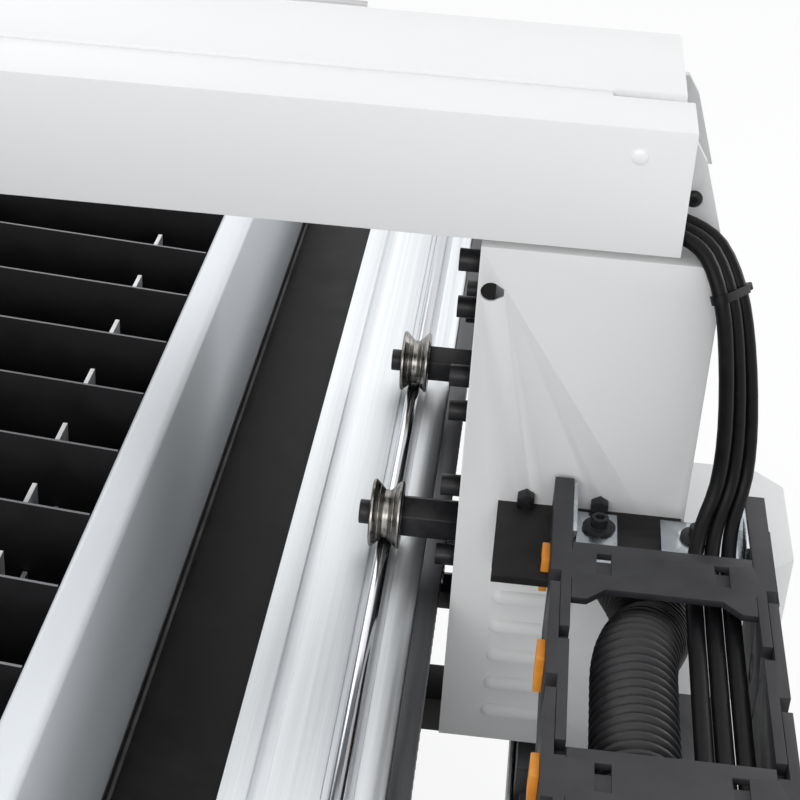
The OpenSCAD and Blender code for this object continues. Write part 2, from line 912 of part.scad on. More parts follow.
module left_end_cover() {
    color([0.87, 0.87, 0.87]) left_side() riding() end_cover();
}

module right_end_cover() {
    color([0.87, 0.87, 0.87]) right_side() riding() end_cover();
}

// box over a motor's end, with its outer corners cut at 45 degrees
module motor_bulge(inset) {
    past = inset > 0 ? over : 0;
    cut = bay_cut - inset * bay_cut_share;
    x = [cover_out - past, bay_out - inset];
    y = [bay_y[0] + inset, bay_y[1] - inset];
    translate([0, 0, bay_z[0] + inset]) linear_extrude(bay_z[1] - bay_z[0] - 2 * inset)
        polygon([[x[0], y[0]], [x[1] - cut, y[0]], [x[1], y[0] + cut], [x[1], y[1] - cut], [x[1] - cut, y[1]],
            [x[0], y[1]]]);
}

module motor_covers() {
    color([0.87, 0.87, 0.87]) both_sides() riding() difference() {
        motor_bulge(0);
        motor_bulge(cover_t);
    }
}

// geared motors on the inner side of the end plates
module drive_motors() {
    x = plate_x + plate_t;
    color([0.16, 0.16, 0.17]) both_sides() riding() translate([x, motor_y, -motor_drop]) difference() {
        union() {
            block([0, motor_flange_t], [-motor_flange_w / 2, motor_flange_w / 2],
                [-motor_flange_w / 2, motor_flange_w / 2]);
            block([motor_flange_t - over, motor_flange_t + motor_l], [-motor_w / 2, motor_w / 2],
                [-motor_w / 2, motor_w / 2]);
        }
        translate([-over, 0, 0]) rod_along_x(shaft_d + 2 * fit, motor_flange_t + over);
    }
}

module drive_pinion() {
    translate([rail_out + clear, motor_y, -motor_drop]) {
        pinion(gear_m, pinion_teeth, rack_w - 2 * clear);
        rod_along_x(shaft_d, plate_x + plate_t - rail_out - clear + motor_flange_t - clear);
    }
}

module left_pinion() {
    color([0.45, 0.45, 0.46]) left_side() riding() drive_pinion();
}

module right_pinion() {
    color([0.45, 0.45, 0.46]) right_side() riding() drive_pinion();
}

// Wheels

module wheel() {
    w = wheel_w / 2;
    r = wheel_d / 2;
    bore = axle_d / 2 + fit;
    lip = r - groove_tip;
    foot = groove_floor - groove_tip;
    rotate([0, 90, 0]) rotate_extrude()
        polygon([[bore, -w], [r - clear, -w], [r, clear - w], [r, -lip], [groove_floor, -foot],
            [groove_floor, foot], [r, lip], [r, w - clear], [r - clear, w], [bore, w]]);
}

module front_wheel() {
    color([0.50, 0.47, 0.43]) wheel();
}

module rear_wheel() {
    color([0.50, 0.47, 0.43]) translate([0, wheel_gap, 0]) wheel();
}

module lower_wheel() {
    color([0.50, 0.47, 0.43]) translate([0, wheel_gap / 2, axle_low]) wheel();
}

module left_front_wheel() {
    left_side() riding() front_wheel();
}

module left_rear_wheel() {
    left_side() riding() rear_wheel();
}

module left_lower_wheel() {
    left_side() riding() lower_wheel();
}

module right_front_wheel() {
    right_side() riding() front_wheel();
}

module right_rear_wheel() {
    right_side() riding() rear_wheel();
}

module right_lower_wheel() {
    right_side() riding() lower_wheel();
}

module at_axles() {
    both_sides() riding() for (p = [[0, 0], [wheel_gap, 0], [wheel_gap / 2, axle_low]])
        translate([0, p[0], p[1]]) children();
}

// hexagonal spacers between the wheels and the end plates
module wheel_standoffs() {
    x = wheel_w / 2 + wheel_gap_x;
    color([0.09, 0.09, 0.09]) at_axles() translate([x, 0, 0]) difference() {
        hex_along_x(standoff_w, plate_x - x);
        translate([-over, 0, 0]) rod_along_x(axle_d + 2 * loose, plate_x - x + 2 * over);
    }
}

// bolts that are the axles, with their nuts behind the end plates
module wheel_bolts() {
    x = wheel_w / 2 + wheel_gap_x;
    end = plate_x + plate_t;
    color([0.09, 0.09, 0.09]) at_axles() {
        translate([-x - axle_head_h, 0, 0]) rod_along_x(axle_head_d, axle_head_h);
        translate([-x - over, 0, 0]) rod_along_x(axle_d, end + nut_h + x + 2 * over);
        translate([end, 0, 0]) hex_along_x(nut_w, nut_h);
    }
}

// socket screws that hold the end frames to the end plates
module plate_screws() {
    color([0.09, 0.09, 0.09]) both_sides() riding() for (p = screw_spots, s = [0, 1])
        translate([plate_x, s == 0 ? p[0] : wheel_gap - p[0], p[1]]) difference() {
            union() {
                translate([-plate_head_h, 0, 0]) rod_along_x(plate_head_d, plate_head_h);
                translate([-over, 0, 0]) rod_along_x(plate_screw_d, plate_screw_l + over);
            }
            translate([-plate_head_h - over, 0, 0]) hex_along_x(plate_key_w, plate_head_h / 2 + over);
        }
}

// Beam

module beam_tube() {
    half = rod_x + beam_end;
    color([0.82, 0.82, 0.83]) on_beam()
        tube([-half, half], [beam_y, beam_back], [frame_top, frame_top + beam_h], 0);
}

// folded cover in front of the beam: a front, a top flange and a bottom flange
module cable_duct() {
    half = rod_x + duct_end;
    y = [cover_front, duct_back];
    z = [duct_low, duct_low + duct_h];
    color([0.88, 0.88, 0.88]) on_beam() difference() {
        block([-half, half], y, z);
        block([-half - over, half + over], [y[0] + cover_t, y[1] + over], [z[0] + cover_t, z[1] - cover_t]);
        for (s = [0, 1]) mirror([s, 0, 0])
            block([rod_x + gusset_in - clear, half + over], [gusset_y - clear, y[1] + over],
                [z[0] - over, z[1] + over]);
    }
}

// square rails on the far face of the beam
module cross_rails() {
    color([0.75, 0.75, 0.77]) on_beam() for (z = x_rail_zs)
        block([-x_rail_half, x_rail_half], [beam_back, beam_back + x_rail_t],
            [z - x_rail_w / 2, z + x_rail_w / 2]);
}

module cross_rack() {
    h = x_rack_z[1] - x_rack_z[0];
    color([0.20, 0.20, 0.21]) on_beam() translate([x_pinion_x, beam_back + rack_w, x_rack_z[1]])
        rotate([90, 0, 0]) linear_extrude(rack_w) intersection() {
            rack_outline(3 * x_rail_half, h, x_rack_m);
            translate([-x_rail_half - x_pinion_x, -h]) square([2 * x_rail_half, h + over]);
        }
}

// Torch carriage

// upright plate with a shelf for the lifting motor and a foot for the lifting screw
module torch_carriage() {
    shaft_hole = x_rack_m * (x_pinion_teeth + 4);
    color([0.18, 0.18, 0.19]) on_beam() difference() {
        union() {
            block(head_x, [head_back, head_front], [head_low, head_top]);
            block(shelf_x, [head_back, head_back + shelf_d], [head_top - shelf_t, head_top]);
            block(foot_block, [head_back, head_front + foot_block_d], [head_low, head_low + foot_block_h]);
        }
        translate([x_pinion_x, head_back - over, x_pinion_z]) rod_along_y(shaft_hole, head_t + 2 * over);
        translate([screw_x, head_front + screw_y, head_low - over])
            cylinder(d = screw_d + 2 * fit, h = head_h + 2 * over);
    }
}

// bearing blocks on the cross rails
module carriage_blocks() {
    color([0.32, 0.32, 0.34]) on_beam() for (x = block_xs, z = x_rail_zs) difference() {
        block([x - block_l / 2, x + block_l / 2], [beam_back + block_y[0], head_back],
            [z - block_half_w, z + block_half_w]);
        block([x - block_l, x + block_l], [beam_back, beam_back + x_rail_t + clear],
            [z - x_rail_w / 2 - clear, z + x_rail_w / 2 + clear]);
    }
}

// one motor for the cross drive, one for the lift
module carriage_motors() {
    half = small_motor_w / 2;
    color([0.10, 0.10, 0.11]) on_beam() {
        translate([x_pinion_x, head_front, x_pinion_z]) difference() {
            block([-half, half], [0, small_motor_l], [-half, half]);
            translate([0, -over, 0]) rod_along_y(small_shaft_d + 2 * fit, small_motor_l / 2 + over);
        }
        translate([screw_x, head_front + screw_y, head_top]) difference() {
            block([-half, half], [-half, half], [0, small_motor_l]);
            translate([0, 0, -over]) cylinder(d = screw_d + 2 * fit, h = small_motor_l / 2 + over);
        }
    }
}

module cross_pinion() {
    color([0.45, 0.45, 0.46]) on_beam() translate([x_pinion_x, beam_back + clear, x_pinion_z]) {
        translate([0, rack_w - 2 * clear, 0]) rotate([0, 0, -90])
            pinion(x_rack_m, x_pinion_teeth, rack_w - 2 * clear);
        rod_along_y(small_shaft_d, head_front - beam_back + small_motor_l / 2 - 2 * clear);
    }
}

module lift_rail() {
    color([0.75, 0.75, 0.77]) on_beam()
        block([-z_rail_w / 2, z_rail_w / 2], [head_front, head_front + z_rail_t], z_rail_z);
}

// lifting screw between the foot and the motor
module lift_screw() {
    color([0.62, 0.62, 0.63]) on_beam() translate([screw_x, head_front + screw_y, head_low + clear])
        cylinder(d = screw_d, h = head_h + small_motor_l / 2 - 2 * clear);
}

// sliding block with the nut's ear, the arm and the torch clamp
module lift_slide() {
    y = head_front + clear;
    arm_y = [head_front + slide_t, head_front + slide_t + arm_t];
    color([0.30, 0.30, 0.32]) on_beam() difference() {
        union() {
            block([-slide_half, slide_half], [y, arm_y[1]], slide_z);
            block([slide_half - over, ear_x], [y, y + 2 * screw_y - clear],
                [slide_z[1] - ear_t, slide_z[1]]);
            block([-slide_half, slide_half], arm_y, [arm_low, slide_z[0] + over]);
            translate([0, torch_y, clamp_z[0]])
                cylinder(d = torch_d + 2 * clamp_t, h = clamp_z[1] - clamp_z[0]);
            block([-clamp_t, clamp_t], [arm_y[1] - over, torch_y], clamp_z);
        }
        block([-z_rail_w / 2 - clear, z_rail_w / 2 + clear],
            [head_front - over, head_front + z_rail_t + clear], [slide_z[0] - over, slide_z[1] + over]);
        translate([screw_x, head_front + screw_y, slide_z[0]])
            cylinder(d = screw_d + 2 * fit, h = slide_z[1] - slide_z[0] + over);
        translate([0, torch_y, clamp_z[0] - over])
            cylinder(d = torch_d + 2 * fit, h = clamp_z[1] - clamp_z[0] + 2 * over);
    }
}

module torch() {
    r = torch_d / 2;
    color([0.16, 0.16, 0.17]) on_beam() translate([0, torch_y, torch_rise]) rotate_extrude()
        polygon([for (p = concat(torch_shares, torch_bore_shares)) [p[0] * r, p[1] * torch_l]]);
}

// Cable chain, in the right side's gantry frame

// side of a link: an outer half lap round the first pin and an inner half lap round the second
module link_side_shape(inner, l) {
    r = link_h / 2;
    if (inner) {
        translate([r + clear * 2, -r]) square([l - r - clear * 2, link_h]);
        translate([l, 0]) circle(r = r);
        translate([l, 0]) square([lap_corner, r]);
    } else {
        circle(r = r);
        translate([-lap_corner, 0]) square([lap_corner, r]);
        translate([0, -r]) square([l - r - clear * 2, link_h]);
    }
}

// one link along its own direction from the first pin, width across x, with or without cross bars
module link(barred) {
    half = link_in / 2;
    r = link_h / 2;
    for (s = [0, 1]) mirror([s, 0, 0]) {
        difference() {
            union() {
                translate([half + link_side - lap_t, 0, 0]) rotate([90, 0, 90])
                    linear_extrude(lap_t) link_side_shape(false, link_pitch);
                translate([half, 0, 0]) rotate([90, 0, 90])
                    linear_extrude(lap_t) link_side_shape(true, link_pitch);
                block([half + lap_t - over, half + lap_t + clear + over],
                    [r + 2 * clear, link_pitch - r - 2 * clear], [-r, r]);
                translate([half + clear, 0, 0]) rod_along_x(pin_d, link_side - lap_t);
            }
            translate([half - over, link_pitch, 0]) rod_along_x(pin_d + 2 * fit, lap_t + 2 * over);
        }
    }
    if (barred) link_bars(link_pitch / 2, [r - bar_t, -r], 1);
}

// cross bars of a link round its middle at the heights given, with a foot at each end on one side
module link_bars(mid, zs, way) {
    half = link_in / 2;
    in_x = half - clear;
    l = bar_l / 2;
    toe = way * (l + bar_foot_l);
    edge = bar_hole_shift + bar_hole_w / 2;
    for (z = zs) translate([0, mid, z]) difference() {
        linear_extrude(bar_t) difference() {
            union() {
                square([2 * (half + over), bar_neck_l], center = true);
                square([2 * in_x, bar_l], center = true);
                for (s = [0, 1]) mirror([s, 0])
                    polygon([[in_x - bar_foot_w - bar_foot_l, 0], [in_x, 0], [in_x, toe],
                        [in_x - bar_foot_w, toe], [in_x - bar_foot_w - bar_foot_l, way * l]]);
            }
            for (x = [-bar_hole_x, bar_hole_x]) translate([x, -way * bar_hole_shift])
                square([bar_hole_l, bar_hole_w], center = true);
        }
        // sunk strip beside each hole, on the outer face
        for (x = [-bar_hole_x, bar_hole_x])
            translate([x - bar_hole_l / 2, way > 0 ? -edge : edge - recess_l, z > 0 ? bar_t - recess_t : -over])
                cube([bar_hole_l, recess_l, recess_t + over]);
    }
}

// a link whose first pin is at y, z and which points away from the gantry, turned down by an angle
module link_at(y, z, angle, barred) {
    translate([chain_x, y, z]) rotate([angle, 0, 0]) mirror([0, 1, 0]) link(barred);
}

module on_chain() {
    right_side() riding() children();
}

module chain_upper_links() {
    color([0.17, 0.18, 0.20]) on_chain() for (k = [0:run_links - 1])
        link_at(end_pin_y - k * link_pitch, chain_mid, 0, k % 2 == 1);
}

module chain_bend_links() {
    c = cos(turn) * link_pitch;
    s = sin(turn) * link_pitch;
    color([0.17, 0.18, 0.20]) on_chain() {
        link_at(run_end_y, chain_mid, turn, false);
        link_at(run_end_y - c, chain_mid - s, 2 * turn, true);
        // the last link's corners are trimmed level with the lower run
        difference() {
            link_at(run_end_y - c, chain_mid - s - link_pitch, 3 * turn, false);
            block([chain_x - link_in, chain_x + link_in], [run_end_y - link_pitch, run_end_y + link_pitch],
                [low_mid - link_h, low_mid - link_h / 2]);
        }
    }
}

module chain_lower_links() {
    color([0.17, 0.18, 0.20]) on_chain() {
        for (k = [0:run_links - 1]) link_at(run_end_y + k * link_pitch, low_mid, 4 * turn, k % 2 == 0);
        fixed_link();
    }
}

// last link of the lower run, without its second pin
module fixed_link() {
    half = link_in / 2;
    r = link_h / 2;
    translate([chain_x, end_pin_y, low_mid]) {
        for (s = [0, 1]) mirror([s, 0, 0]) {
            translate([half + link_side - lap_t, 0, 0]) rotate([90, 0, 90])
                linear_extrude(lap_t) mirror([0, 1]) link_side_shape(false, link_pitch + r);
            translate([half + clear, 0, 0]) rod_along_x(pin_d, link_side - lap_t);
            block([half, half + link_side], [r + 2 * clear, link_pitch - 2 * clear], [-r, r]);
        }
        link_bars(link_pitch / 2, [r - bar_t, -r], 1);
    }
}

// first link, fixed to the chain bracket by its sides
module chain_end_link() {
    half = link_in / 2;
    r = link_h / 2;
    color([0.17, 0.18, 0.20]) on_chain() translate([chain_x, end_pin_y, chain_mid]) difference() {
        union() {
            for (s = [0, 1]) mirror([s, 0, 0]) difference() {
                union() {
                    translate([half, 0, 0]) rotate([90, 0, 90]) linear_extrude(lap_t) circle(r = r);
                    block([half, half + lap_t], [-lap_corner, 0], [0, r]);
                    block([half, half + lap_t], [0, link_pitch], [-r, r]);
                    block([half, half + link_side], [r + 2 * clear, end_far_y - end_pin_y], [-r, r]);
                }
                translate([half - over, 0, 0]) rod_along_x(pin_d + 2 * fit, lap_t + 2 * over);
            }
            link_bars(link_pitch / 2 - bar_shift, [r - bar_t], -1);
        }
        // step over the bracket plate
        block([-half - link_side - over, half + link_side + over],
            [bracket_y[0] - end_pin_y - clear, end_far_y - end_pin_y + over],
            [-r - over, bracket_top - chain_mid]);
    }
}

// plate with a leg down the end cover
module chain_bracket() {
    wall_y = [cover_front - bracket_t, cover_front];
    x = bracket_x;
    color([0.10, 0.10, 0.10]) on_chain() difference() {
        union() {
            block(x, [bracket_y[0], cover_front - bracket_t + over], [bracket_top - bracket_t, bracket_top]);
            block([x[0], cover_out - cover_t], wall_y, [bracket_top - bracket_t, bracket_top]);
            block([x[0], leg_out], wall_y, [leg_low, bracket_top]);
        }
        for (x = angle_screws)
            translate([chain_x + x, angle_screw_y, bracket_top - bracket_t - over])
                cylinder(d = angle_screw_d + 2 * loose, h = bracket_t + 2 * over);
        for (b = bracket_bolt_xs) translate([b, wall_y[0] - over, bracket_bolt_z])
            rod_along_y(cover_bolt_d + 2 * loose, bracket_t + 2 * over);
        for (b = cover_bolt_xs) translate([b, cover_front - cover_bolt_h - loose, cover_bolt_z])
            rod_along_y(cover_bolt_w / cos(30) + 4 * loose, cover_bolt_h + loose + over);
    }
}

// plated angles that hold the end link to the bracket
module chain_angles() {
    half = link_in / 2;
    color([0.72, 0.75, 0.78]) on_chain() translate([chain_x, 0, bracket_top])
        for (s = [0, 1]) difference() {
            mirror([1 - s, 0, 0]) union() {
                block([half - (s == 0 ? angle_w : angle_wide), half], angle_y, [0, angle_t]);
                block([half - angle_t, half], angle_y, [0, angle_h]);
            }
            translate([angle_screws[s], angle_screw_y, -over]) {
                cylinder(d = slot_d, h = angle_t + 2 * over);
                translate([slot_d - slot_l, -slot_d / 2, 0])
                    cube([slot_l - slot_d, slot_d, angle_t + 2 * over]);
                translate([slot_d - slot_l, 0, 0]) cylinder(d = slot_d, h = angle_t + 2 * over);
            }
        }
}

// socket screws with washers on the angles, and hexagon bolts on the cover
module bracket_fasteners() {
    grip = angle_t + bracket_t;
    color([0.08, 0.08, 0.08]) on_chain() {
        for (x = angle_screws)
            translate([chain_x + x, angle_screw_y, bracket_top + angle_t]) {
                cylinder(d = washer_d, h = washer_t);
                difference() {
                    translate([0, 0, washer_t - over]) cylinder(d = angle_head_d, h = angle_head_h + over);
                    translate([0, 0, washer_t + angle_head_h / 2])
                        cylinder(d = angle_key_w / cos(30), h = angle_head_h, $fn = 6);
                }
                translate([0, 0, -grip - angle_head_h])
                    cylinder(d = angle_screw_d, h = grip + angle_head_h + over);
            }
        for (x = cover_bolt_xs) translate([x, cover_front - cover_bolt_h, cover_bolt_z]) hex_bolt(cover_bolt_h);
        for (x = bracket_bolt_xs) translate([x, cover_front - bracket_t - cover_bolt_h, bracket_bolt_z])
            hex_bolt(cover_bolt_h + bracket_t);
    }
}

// bolt along y with its head first
module hex_bolt(grip) {
    rotate([-90, 0, 0]) rotate([0, 0, 30]) cylinder(d = cover_bolt_w / cos(30), h = cover_bolt_h, $fn = 6);
    rod_along_y(cover_bolt_d, grip + cover_t + cover_bolt_h);
}

// Hose and cables

// tube swept along rings in a plane across x: each ring is y, z, direction angle and radius
module ring_tube(x, outer, inner, sides) {
    n = len(outer);
    k = len(inner);
    pts = concat(
        [for (q = outer, i = [0:sides - 1]) ring_point(x, q, i * 360 / sides)],
        [for (q = inner, i = [0:sides - 1]) ring_point(x, q, i * 360 / sides)]);
    m = n * sides;
    walls = [for (j = [0:n - 2], i = [0:sides - 1]) let (a = j * sides + i, b = j * sides + (i + 1) % sides)
        [a, b, b + sides, a + sides]];
    bores = [for (j = [0:k - 2], i = [0:sides - 1])
        let (a = m + j * sides + i, b = m + j * sides + (i + 1) % sides)
        [a + sides, b + sides, b, a]];
    start = [for (i = [0:sides - 1]) [i, m + i, m + (i + 1) % sides, (i + 1) % sides]];
    last = m + (k - 1) * sides;
    end = [for (i = [0:sides - 1])
        [(n - 1) * sides + (i + 1) % sides, last + (i + 1) % sides, last + i, (n - 1) * sides + i]];
    polyhedron(points = pts, faces = concat(walls, bores, start, end), convexity = 8);
}

function ring_point(x, q, a) =
    [x + sway(q) + q[3] * cos(a), q[0] - sin(q[2]) * q[3] * sin(a), q[1] + cos(q[2]) * q[3] * sin(a)];

// sideways step of the hose on its rise into the chain
function sway(q) = let (f = (q[0] - hose_sway_y[0]) / (hose_sway_y[1] - hose_sway_y[0]))
    f < 0 || f > 1 ? 0 : q[4] * pow(sin(180 * pow(f, sway_share)), 2);

// solid round cable along rings in a plane across x
module ring_cable(x, rings, sides) {
    n = len(rings);
    pts = [for (q = rings, i = [0:sides - 1]) ring_point(x, q, i * 360 / sides)];
    walls = [for (j = [0:n - 2], i = [0:sides - 1]) let (a = j * sides + i, b = j * sides + (i + 1) % sides)
        [a, b, b + sides, a + sides]];
    start = [[for (i = [sides - 1:-1:0]) i]];
    end = [[for (i = [0:sides - 1]) (n - 1) * sides + i]];
    polyhedron(points = pts, faces = concat(walls, start, end), convexity = 8);
}

// the hose's line as straights and bends: y, z and direction after a length s from its start
function upper_line(s) = s < hose_lead ? [hose_start_y - s, gland_z, 180] :
    s < hose_lead + rise_l ? rise_first((s - hose_lead) / hose_rise_r * 180 / PI) :
    s < hose_lead + 2 * rise_l ? rise_last((hose_lead + 2 * rise_l - s) / hose_rise_r * 180 / PI) :
    [hose_level_y - (s - hose_lead - 2 * rise_l), hose_mid, 180];

function rise_first(a) = [hose_start_y - hose_lead - hose_rise_r * sin(a),
    gland_z + hose_rise_r * (1 - cos(a)), 180 - a];

function rise_last(a) = [hose_level_y + hose_rise_r * sin(a),
    hose_mid - hose_rise_r * (1 - cos(a)), 180 - a];

function bend_line(s, r) = let (down = max(0, min(bend_straight, s - PI * r / 2)),
    a = (s - down) / r * 180 / PI)
    [bend_y - r * sin(a), bend_top - down + r * cos(a), 180 + a];

// rings of a ribbed stretch: one on each rib's top and one in the valley after it
function ribbed(lines, aside = 0) = [for (i = [0:len(lines) - 1])
    [lines[i][0], lines[i][1], lines[i][2], (i % 2 == 1 ? hose_d : (hose_d + 2 * hose_bore) / 3) / 2, aside]];

function plain(lines, d, aside = 0) = [for (q = lines) [q[0], q[1], q[2], d / 2, aside]];

function rib_steps(l) = let (n = floor(l / rib_pitch))
    concat([0], [for (i = [0:n - 1], t = rib_shares) (i + t) * l / n], [l]);

function bore_steps(l, n) = [for (i = [0:n]) i * l / n];

module upper_leads() {
    color([0.09, 0.09, 0.10]) on_chain() {
        ring_tube(hose_x, ribbed([for (s = rib_steps(upper_l)) upper_line(s)], hose_sway),
            plain([for (s = bore_steps(upper_l, 24)) upper_line(s)], hose_bore, hose_sway), hose_sides);
        for (x = cable_xs)
            ring_cable(x, plain([[cable_start_y, cable_z, 180], [bend_y, cable_z, 180]], cable_d),
                cable_sides);
    }
}

module bend_leads() {
    l = PI * hose_bend_r + bend_straight;
    cable_r = cable_z - bend_top;
    cable_l = PI * cable_r + bend_straight;
    color([0.09, 0.09, 0.10]) on_chain() {
        ring_tube(hose_x, ribbed([for (s = rib_steps(l)) bend_line(s, hose_bend_r)]),
            plain([for (s = bore_steps(l, 16)) bend_line(s, hose_bend_r)], hose_bore), hose_sides);
        for (x = cable_xs)
            ring_cable(x, plain([for (s = bore_steps(cable_l, 16)) bend_line(s, cable_r)], cable_d),
                cable_sides);
    }
}

module lower_leads() {
    cable_low = hose_mid + low_hose - cable_z;
    l = leads_end_y - bend_y;
    color([0.09, 0.09, 0.10]) on_chain() {
        ring_tube(hose_x, ribbed([for (s = rib_steps(l)) [bend_y + s, low_hose, 360]]),
            plain([for (s = bore_steps(l, 6)) [bend_y + s, low_hose, 360]], hose_bore), hose_sides);
        for (x = cable_xs)
            ring_cable(x, plain([[bend_y, cable_low, 360], [leads_end_y, cable_low, 360]], cable_d),
                cable_sides);
    }
}

// collar that holds the hose to the end cover
module hose_gland() {
    color([0.10, 0.10, 0.10]) on_chain() translate([hose_x, cover_front - gland_t, gland_z]) difference() {
        rod_along_y(gland_d, gland_t);
        translate([0, -over, 0]) rod_along_y(hose_d + 4 * clear, gland_t + 2 * over);
    }
}

// cables from the duct's open end down into the chain, along a smooth line through the route's points
function blend_point(a, b, c, d, t) = 0.5 * ((2 * b) + (c - a) * t + (2 * a - 5 * b + 4 * c - d) * t * t
    + (3 * b - a - 3 * c + d) * t * t * t);

function drop_points() = let (n = len(drop_route))
    concat([for (i = [0:n - 2], t = [0, 0.5]) blend_point(drop_route[max(i - 1, 0)], drop_route[i],
        drop_route[i + 1], drop_route[min(i + 2, n - 1)], t)], [drop_route[n - 1]]);

module drop_cable(k) {
    p = drop_points();
    n = len(p);
    sides = cable_sides;
    pts = [for (j = [0:n - 1], i = [0:sides - 1])
        let (t = unit(p[min(j + 1, n - 1)] - p[max(j - 1, 0)]),
            u = unit(cross(t, [1, 1, 0])), v = cross(t, u), f = j / (n - 1),
            shift = k * drop_spread * [sin(90 * f), cos(90 * f), 0],
            a = i * 360 / sides)
        p[j] + shift + cable_d / 2 * (cos(a) * u + sin(a) * v)];
    walls = [for (j = [0:n - 2], i = [0:sides - 1], h = [0, 1])
        let (a = j * sides + i, b = j * sides + (i + 1) % sides)
        h == 0 ? [a, b, b + sides] : [a, b + sides, a + sides]];
    start = [[for (i = [sides - 1:-1:0]) i]];
    end = [[for (i = [0:sides - 1]) (n - 1) * sides + i]];
    polyhedron(points = pts, faces = concat(walls, start, end), convexity = 8);
}

function unit(v) = v / norm(v);

module cable_bundle() {
    color([0.06, 0.06, 0.06]) on_chain() for (k = [-1, 0, 1]) drop_cable(k);
}

// Parts

front_leg_frame();
rear_leg_frame();
side_beams();
stretchers();
levelling_feet();
slag_tray();
side_guards();
end_guards();
combs();
slats();
rails();
rail_rods();
racks();
end_stops();
chain_tray();
tray_arms();
chain_lower_links();
lower_leads();
junction_box();
junction_lid();
left_end_plate();
right_end_plate();
end_frames();
left_end_cover();
right_end_cover();
motor_covers();
drive_motors();
beam_tube();
cable_duct();
wheel_standoffs();
wheel_bolts();
plate_screws();
chain_bracket();
chain_angles();
bracket_fasteners();
chain_end_link();
chain_upper_links();
upper_leads();
hose_gland();
cable_bundle();
cross_rails();
cross_rack();
left_front_wheel();
left_rear_wheel();
left_lower_wheel();
right_front_wheel();
right_rear_wheel();
right_lower_wheel();
left_pinion();
right_pinion();
chain_bend_links();
bend_leads();
torch_carriage();
carriage_blocks();
carriage_motors();
cross_pinion();
lift_rail();
lift_screw();
lift_slide();
torch();
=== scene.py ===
# %% [markdown]
# # A gantry cutting table, dressed for its photograph
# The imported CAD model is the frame: every solid is at its real place, in metres. This script adds what a
# solid doesn't hold: folded edges, hoses, clips, wear and paint. Each step says what the piece is on the
# real table, how it could be made, and why it is made this way.

# %% Load the frame
import json
import math

import bpy
from mathutils import Matrix, Vector


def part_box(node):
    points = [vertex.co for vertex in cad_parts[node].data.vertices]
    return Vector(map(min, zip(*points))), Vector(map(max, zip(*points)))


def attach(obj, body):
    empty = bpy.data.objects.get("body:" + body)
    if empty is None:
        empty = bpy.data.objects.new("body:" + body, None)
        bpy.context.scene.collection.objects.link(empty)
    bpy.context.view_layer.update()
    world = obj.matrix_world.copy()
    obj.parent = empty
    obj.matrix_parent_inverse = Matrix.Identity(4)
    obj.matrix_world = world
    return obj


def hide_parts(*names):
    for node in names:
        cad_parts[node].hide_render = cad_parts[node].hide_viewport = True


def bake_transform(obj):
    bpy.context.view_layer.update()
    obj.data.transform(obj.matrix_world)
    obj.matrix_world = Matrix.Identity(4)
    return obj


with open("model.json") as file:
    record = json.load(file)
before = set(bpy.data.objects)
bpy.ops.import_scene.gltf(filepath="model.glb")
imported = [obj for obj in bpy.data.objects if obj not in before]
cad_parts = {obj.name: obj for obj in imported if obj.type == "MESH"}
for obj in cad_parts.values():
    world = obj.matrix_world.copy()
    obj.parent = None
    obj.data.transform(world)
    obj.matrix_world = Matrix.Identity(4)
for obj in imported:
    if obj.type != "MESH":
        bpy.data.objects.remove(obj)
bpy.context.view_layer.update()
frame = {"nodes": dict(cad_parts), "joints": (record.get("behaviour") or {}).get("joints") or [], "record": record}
scene = bpy.context.scene
scene.view_settings.view_transform = "Standard"
joint_at = {j["name"]: Vector(j["pos_m"]) for j in frame["joints"] if "pos_m" in j}
axle = joint_at["right_front_wheel_spin"]
body_of = {n: b for b, ns in frame["record"]["behaviour"]["bodies"].items() for n in ns}
mm = 0.001

# %% [markdown]
# ## Camera
# The photograph was taken from above the chain side, looking down along the rails with a moderate lens. The
# camera's place and its three directions come from matching edges of the real machine in the picture, so a
# plain matrix states them best. There is no shift and no depth of field.

# %% Camera
camera_place = Vector((0.8655, -0.9164, 1.3791))
camera_right = Vector((0.9934, 0.0998, 0.0567)).normalized()
camera_back = Vector((0.0574, -0.8598, 0.5074))
camera_up = camera_back.cross(camera_right).normalized()
camera_back = camera_right.cross(camera_up)
camera_data = bpy.data.cameras.new("photo_camera")
camera_data.lens = 81.585
camera_data.sensor_width = 36
camera_data.clip_start, camera_data.clip_end = 0.02, 60
camera = bpy.data.objects.new("photo_camera", camera_data)
camera_turn = Matrix((camera_right, camera_up, camera_back)).transposed().to_4x4()
camera.matrix_world = Matrix.Translation(camera_place) @ camera_turn
scene.collection.objects.link(camera)
scene.camera = camera
print("camera", [round(v, 3) for v in camera.location])

# %% [markdown]
# ## Floor and light
# A product picture like this one has a white room and large soft lamps. The world gives most of the light.
# A wide lamp overhead draws the long highlights on the guard and the rail, and smaller ones from the front,
# the side and the back even out the covers. The floor shows white to the camera and to mirror rays, mixed
# with a real white surface that keeps the table's shadow.

# %% Floor and light
white_share = 0.82
room_strength, light_strength = 1.0, 0.56
light_tint = (0.95, 0.98, 1.0, 1)
floor_size, floor_tone = 24, (0.92, 0.92, 0.92, 1)
white = (1, 1, 1, 1)


def new_node(tree, kind, operation=None, **values):
    """A node of a kind, with the values of its named inputs."""
    node = tree.nodes.new("ShaderNode" + kind)
    if operation:
        node.operation = operation
    for label, value in values.items():
        node.inputs[label].default_value = value
    return node


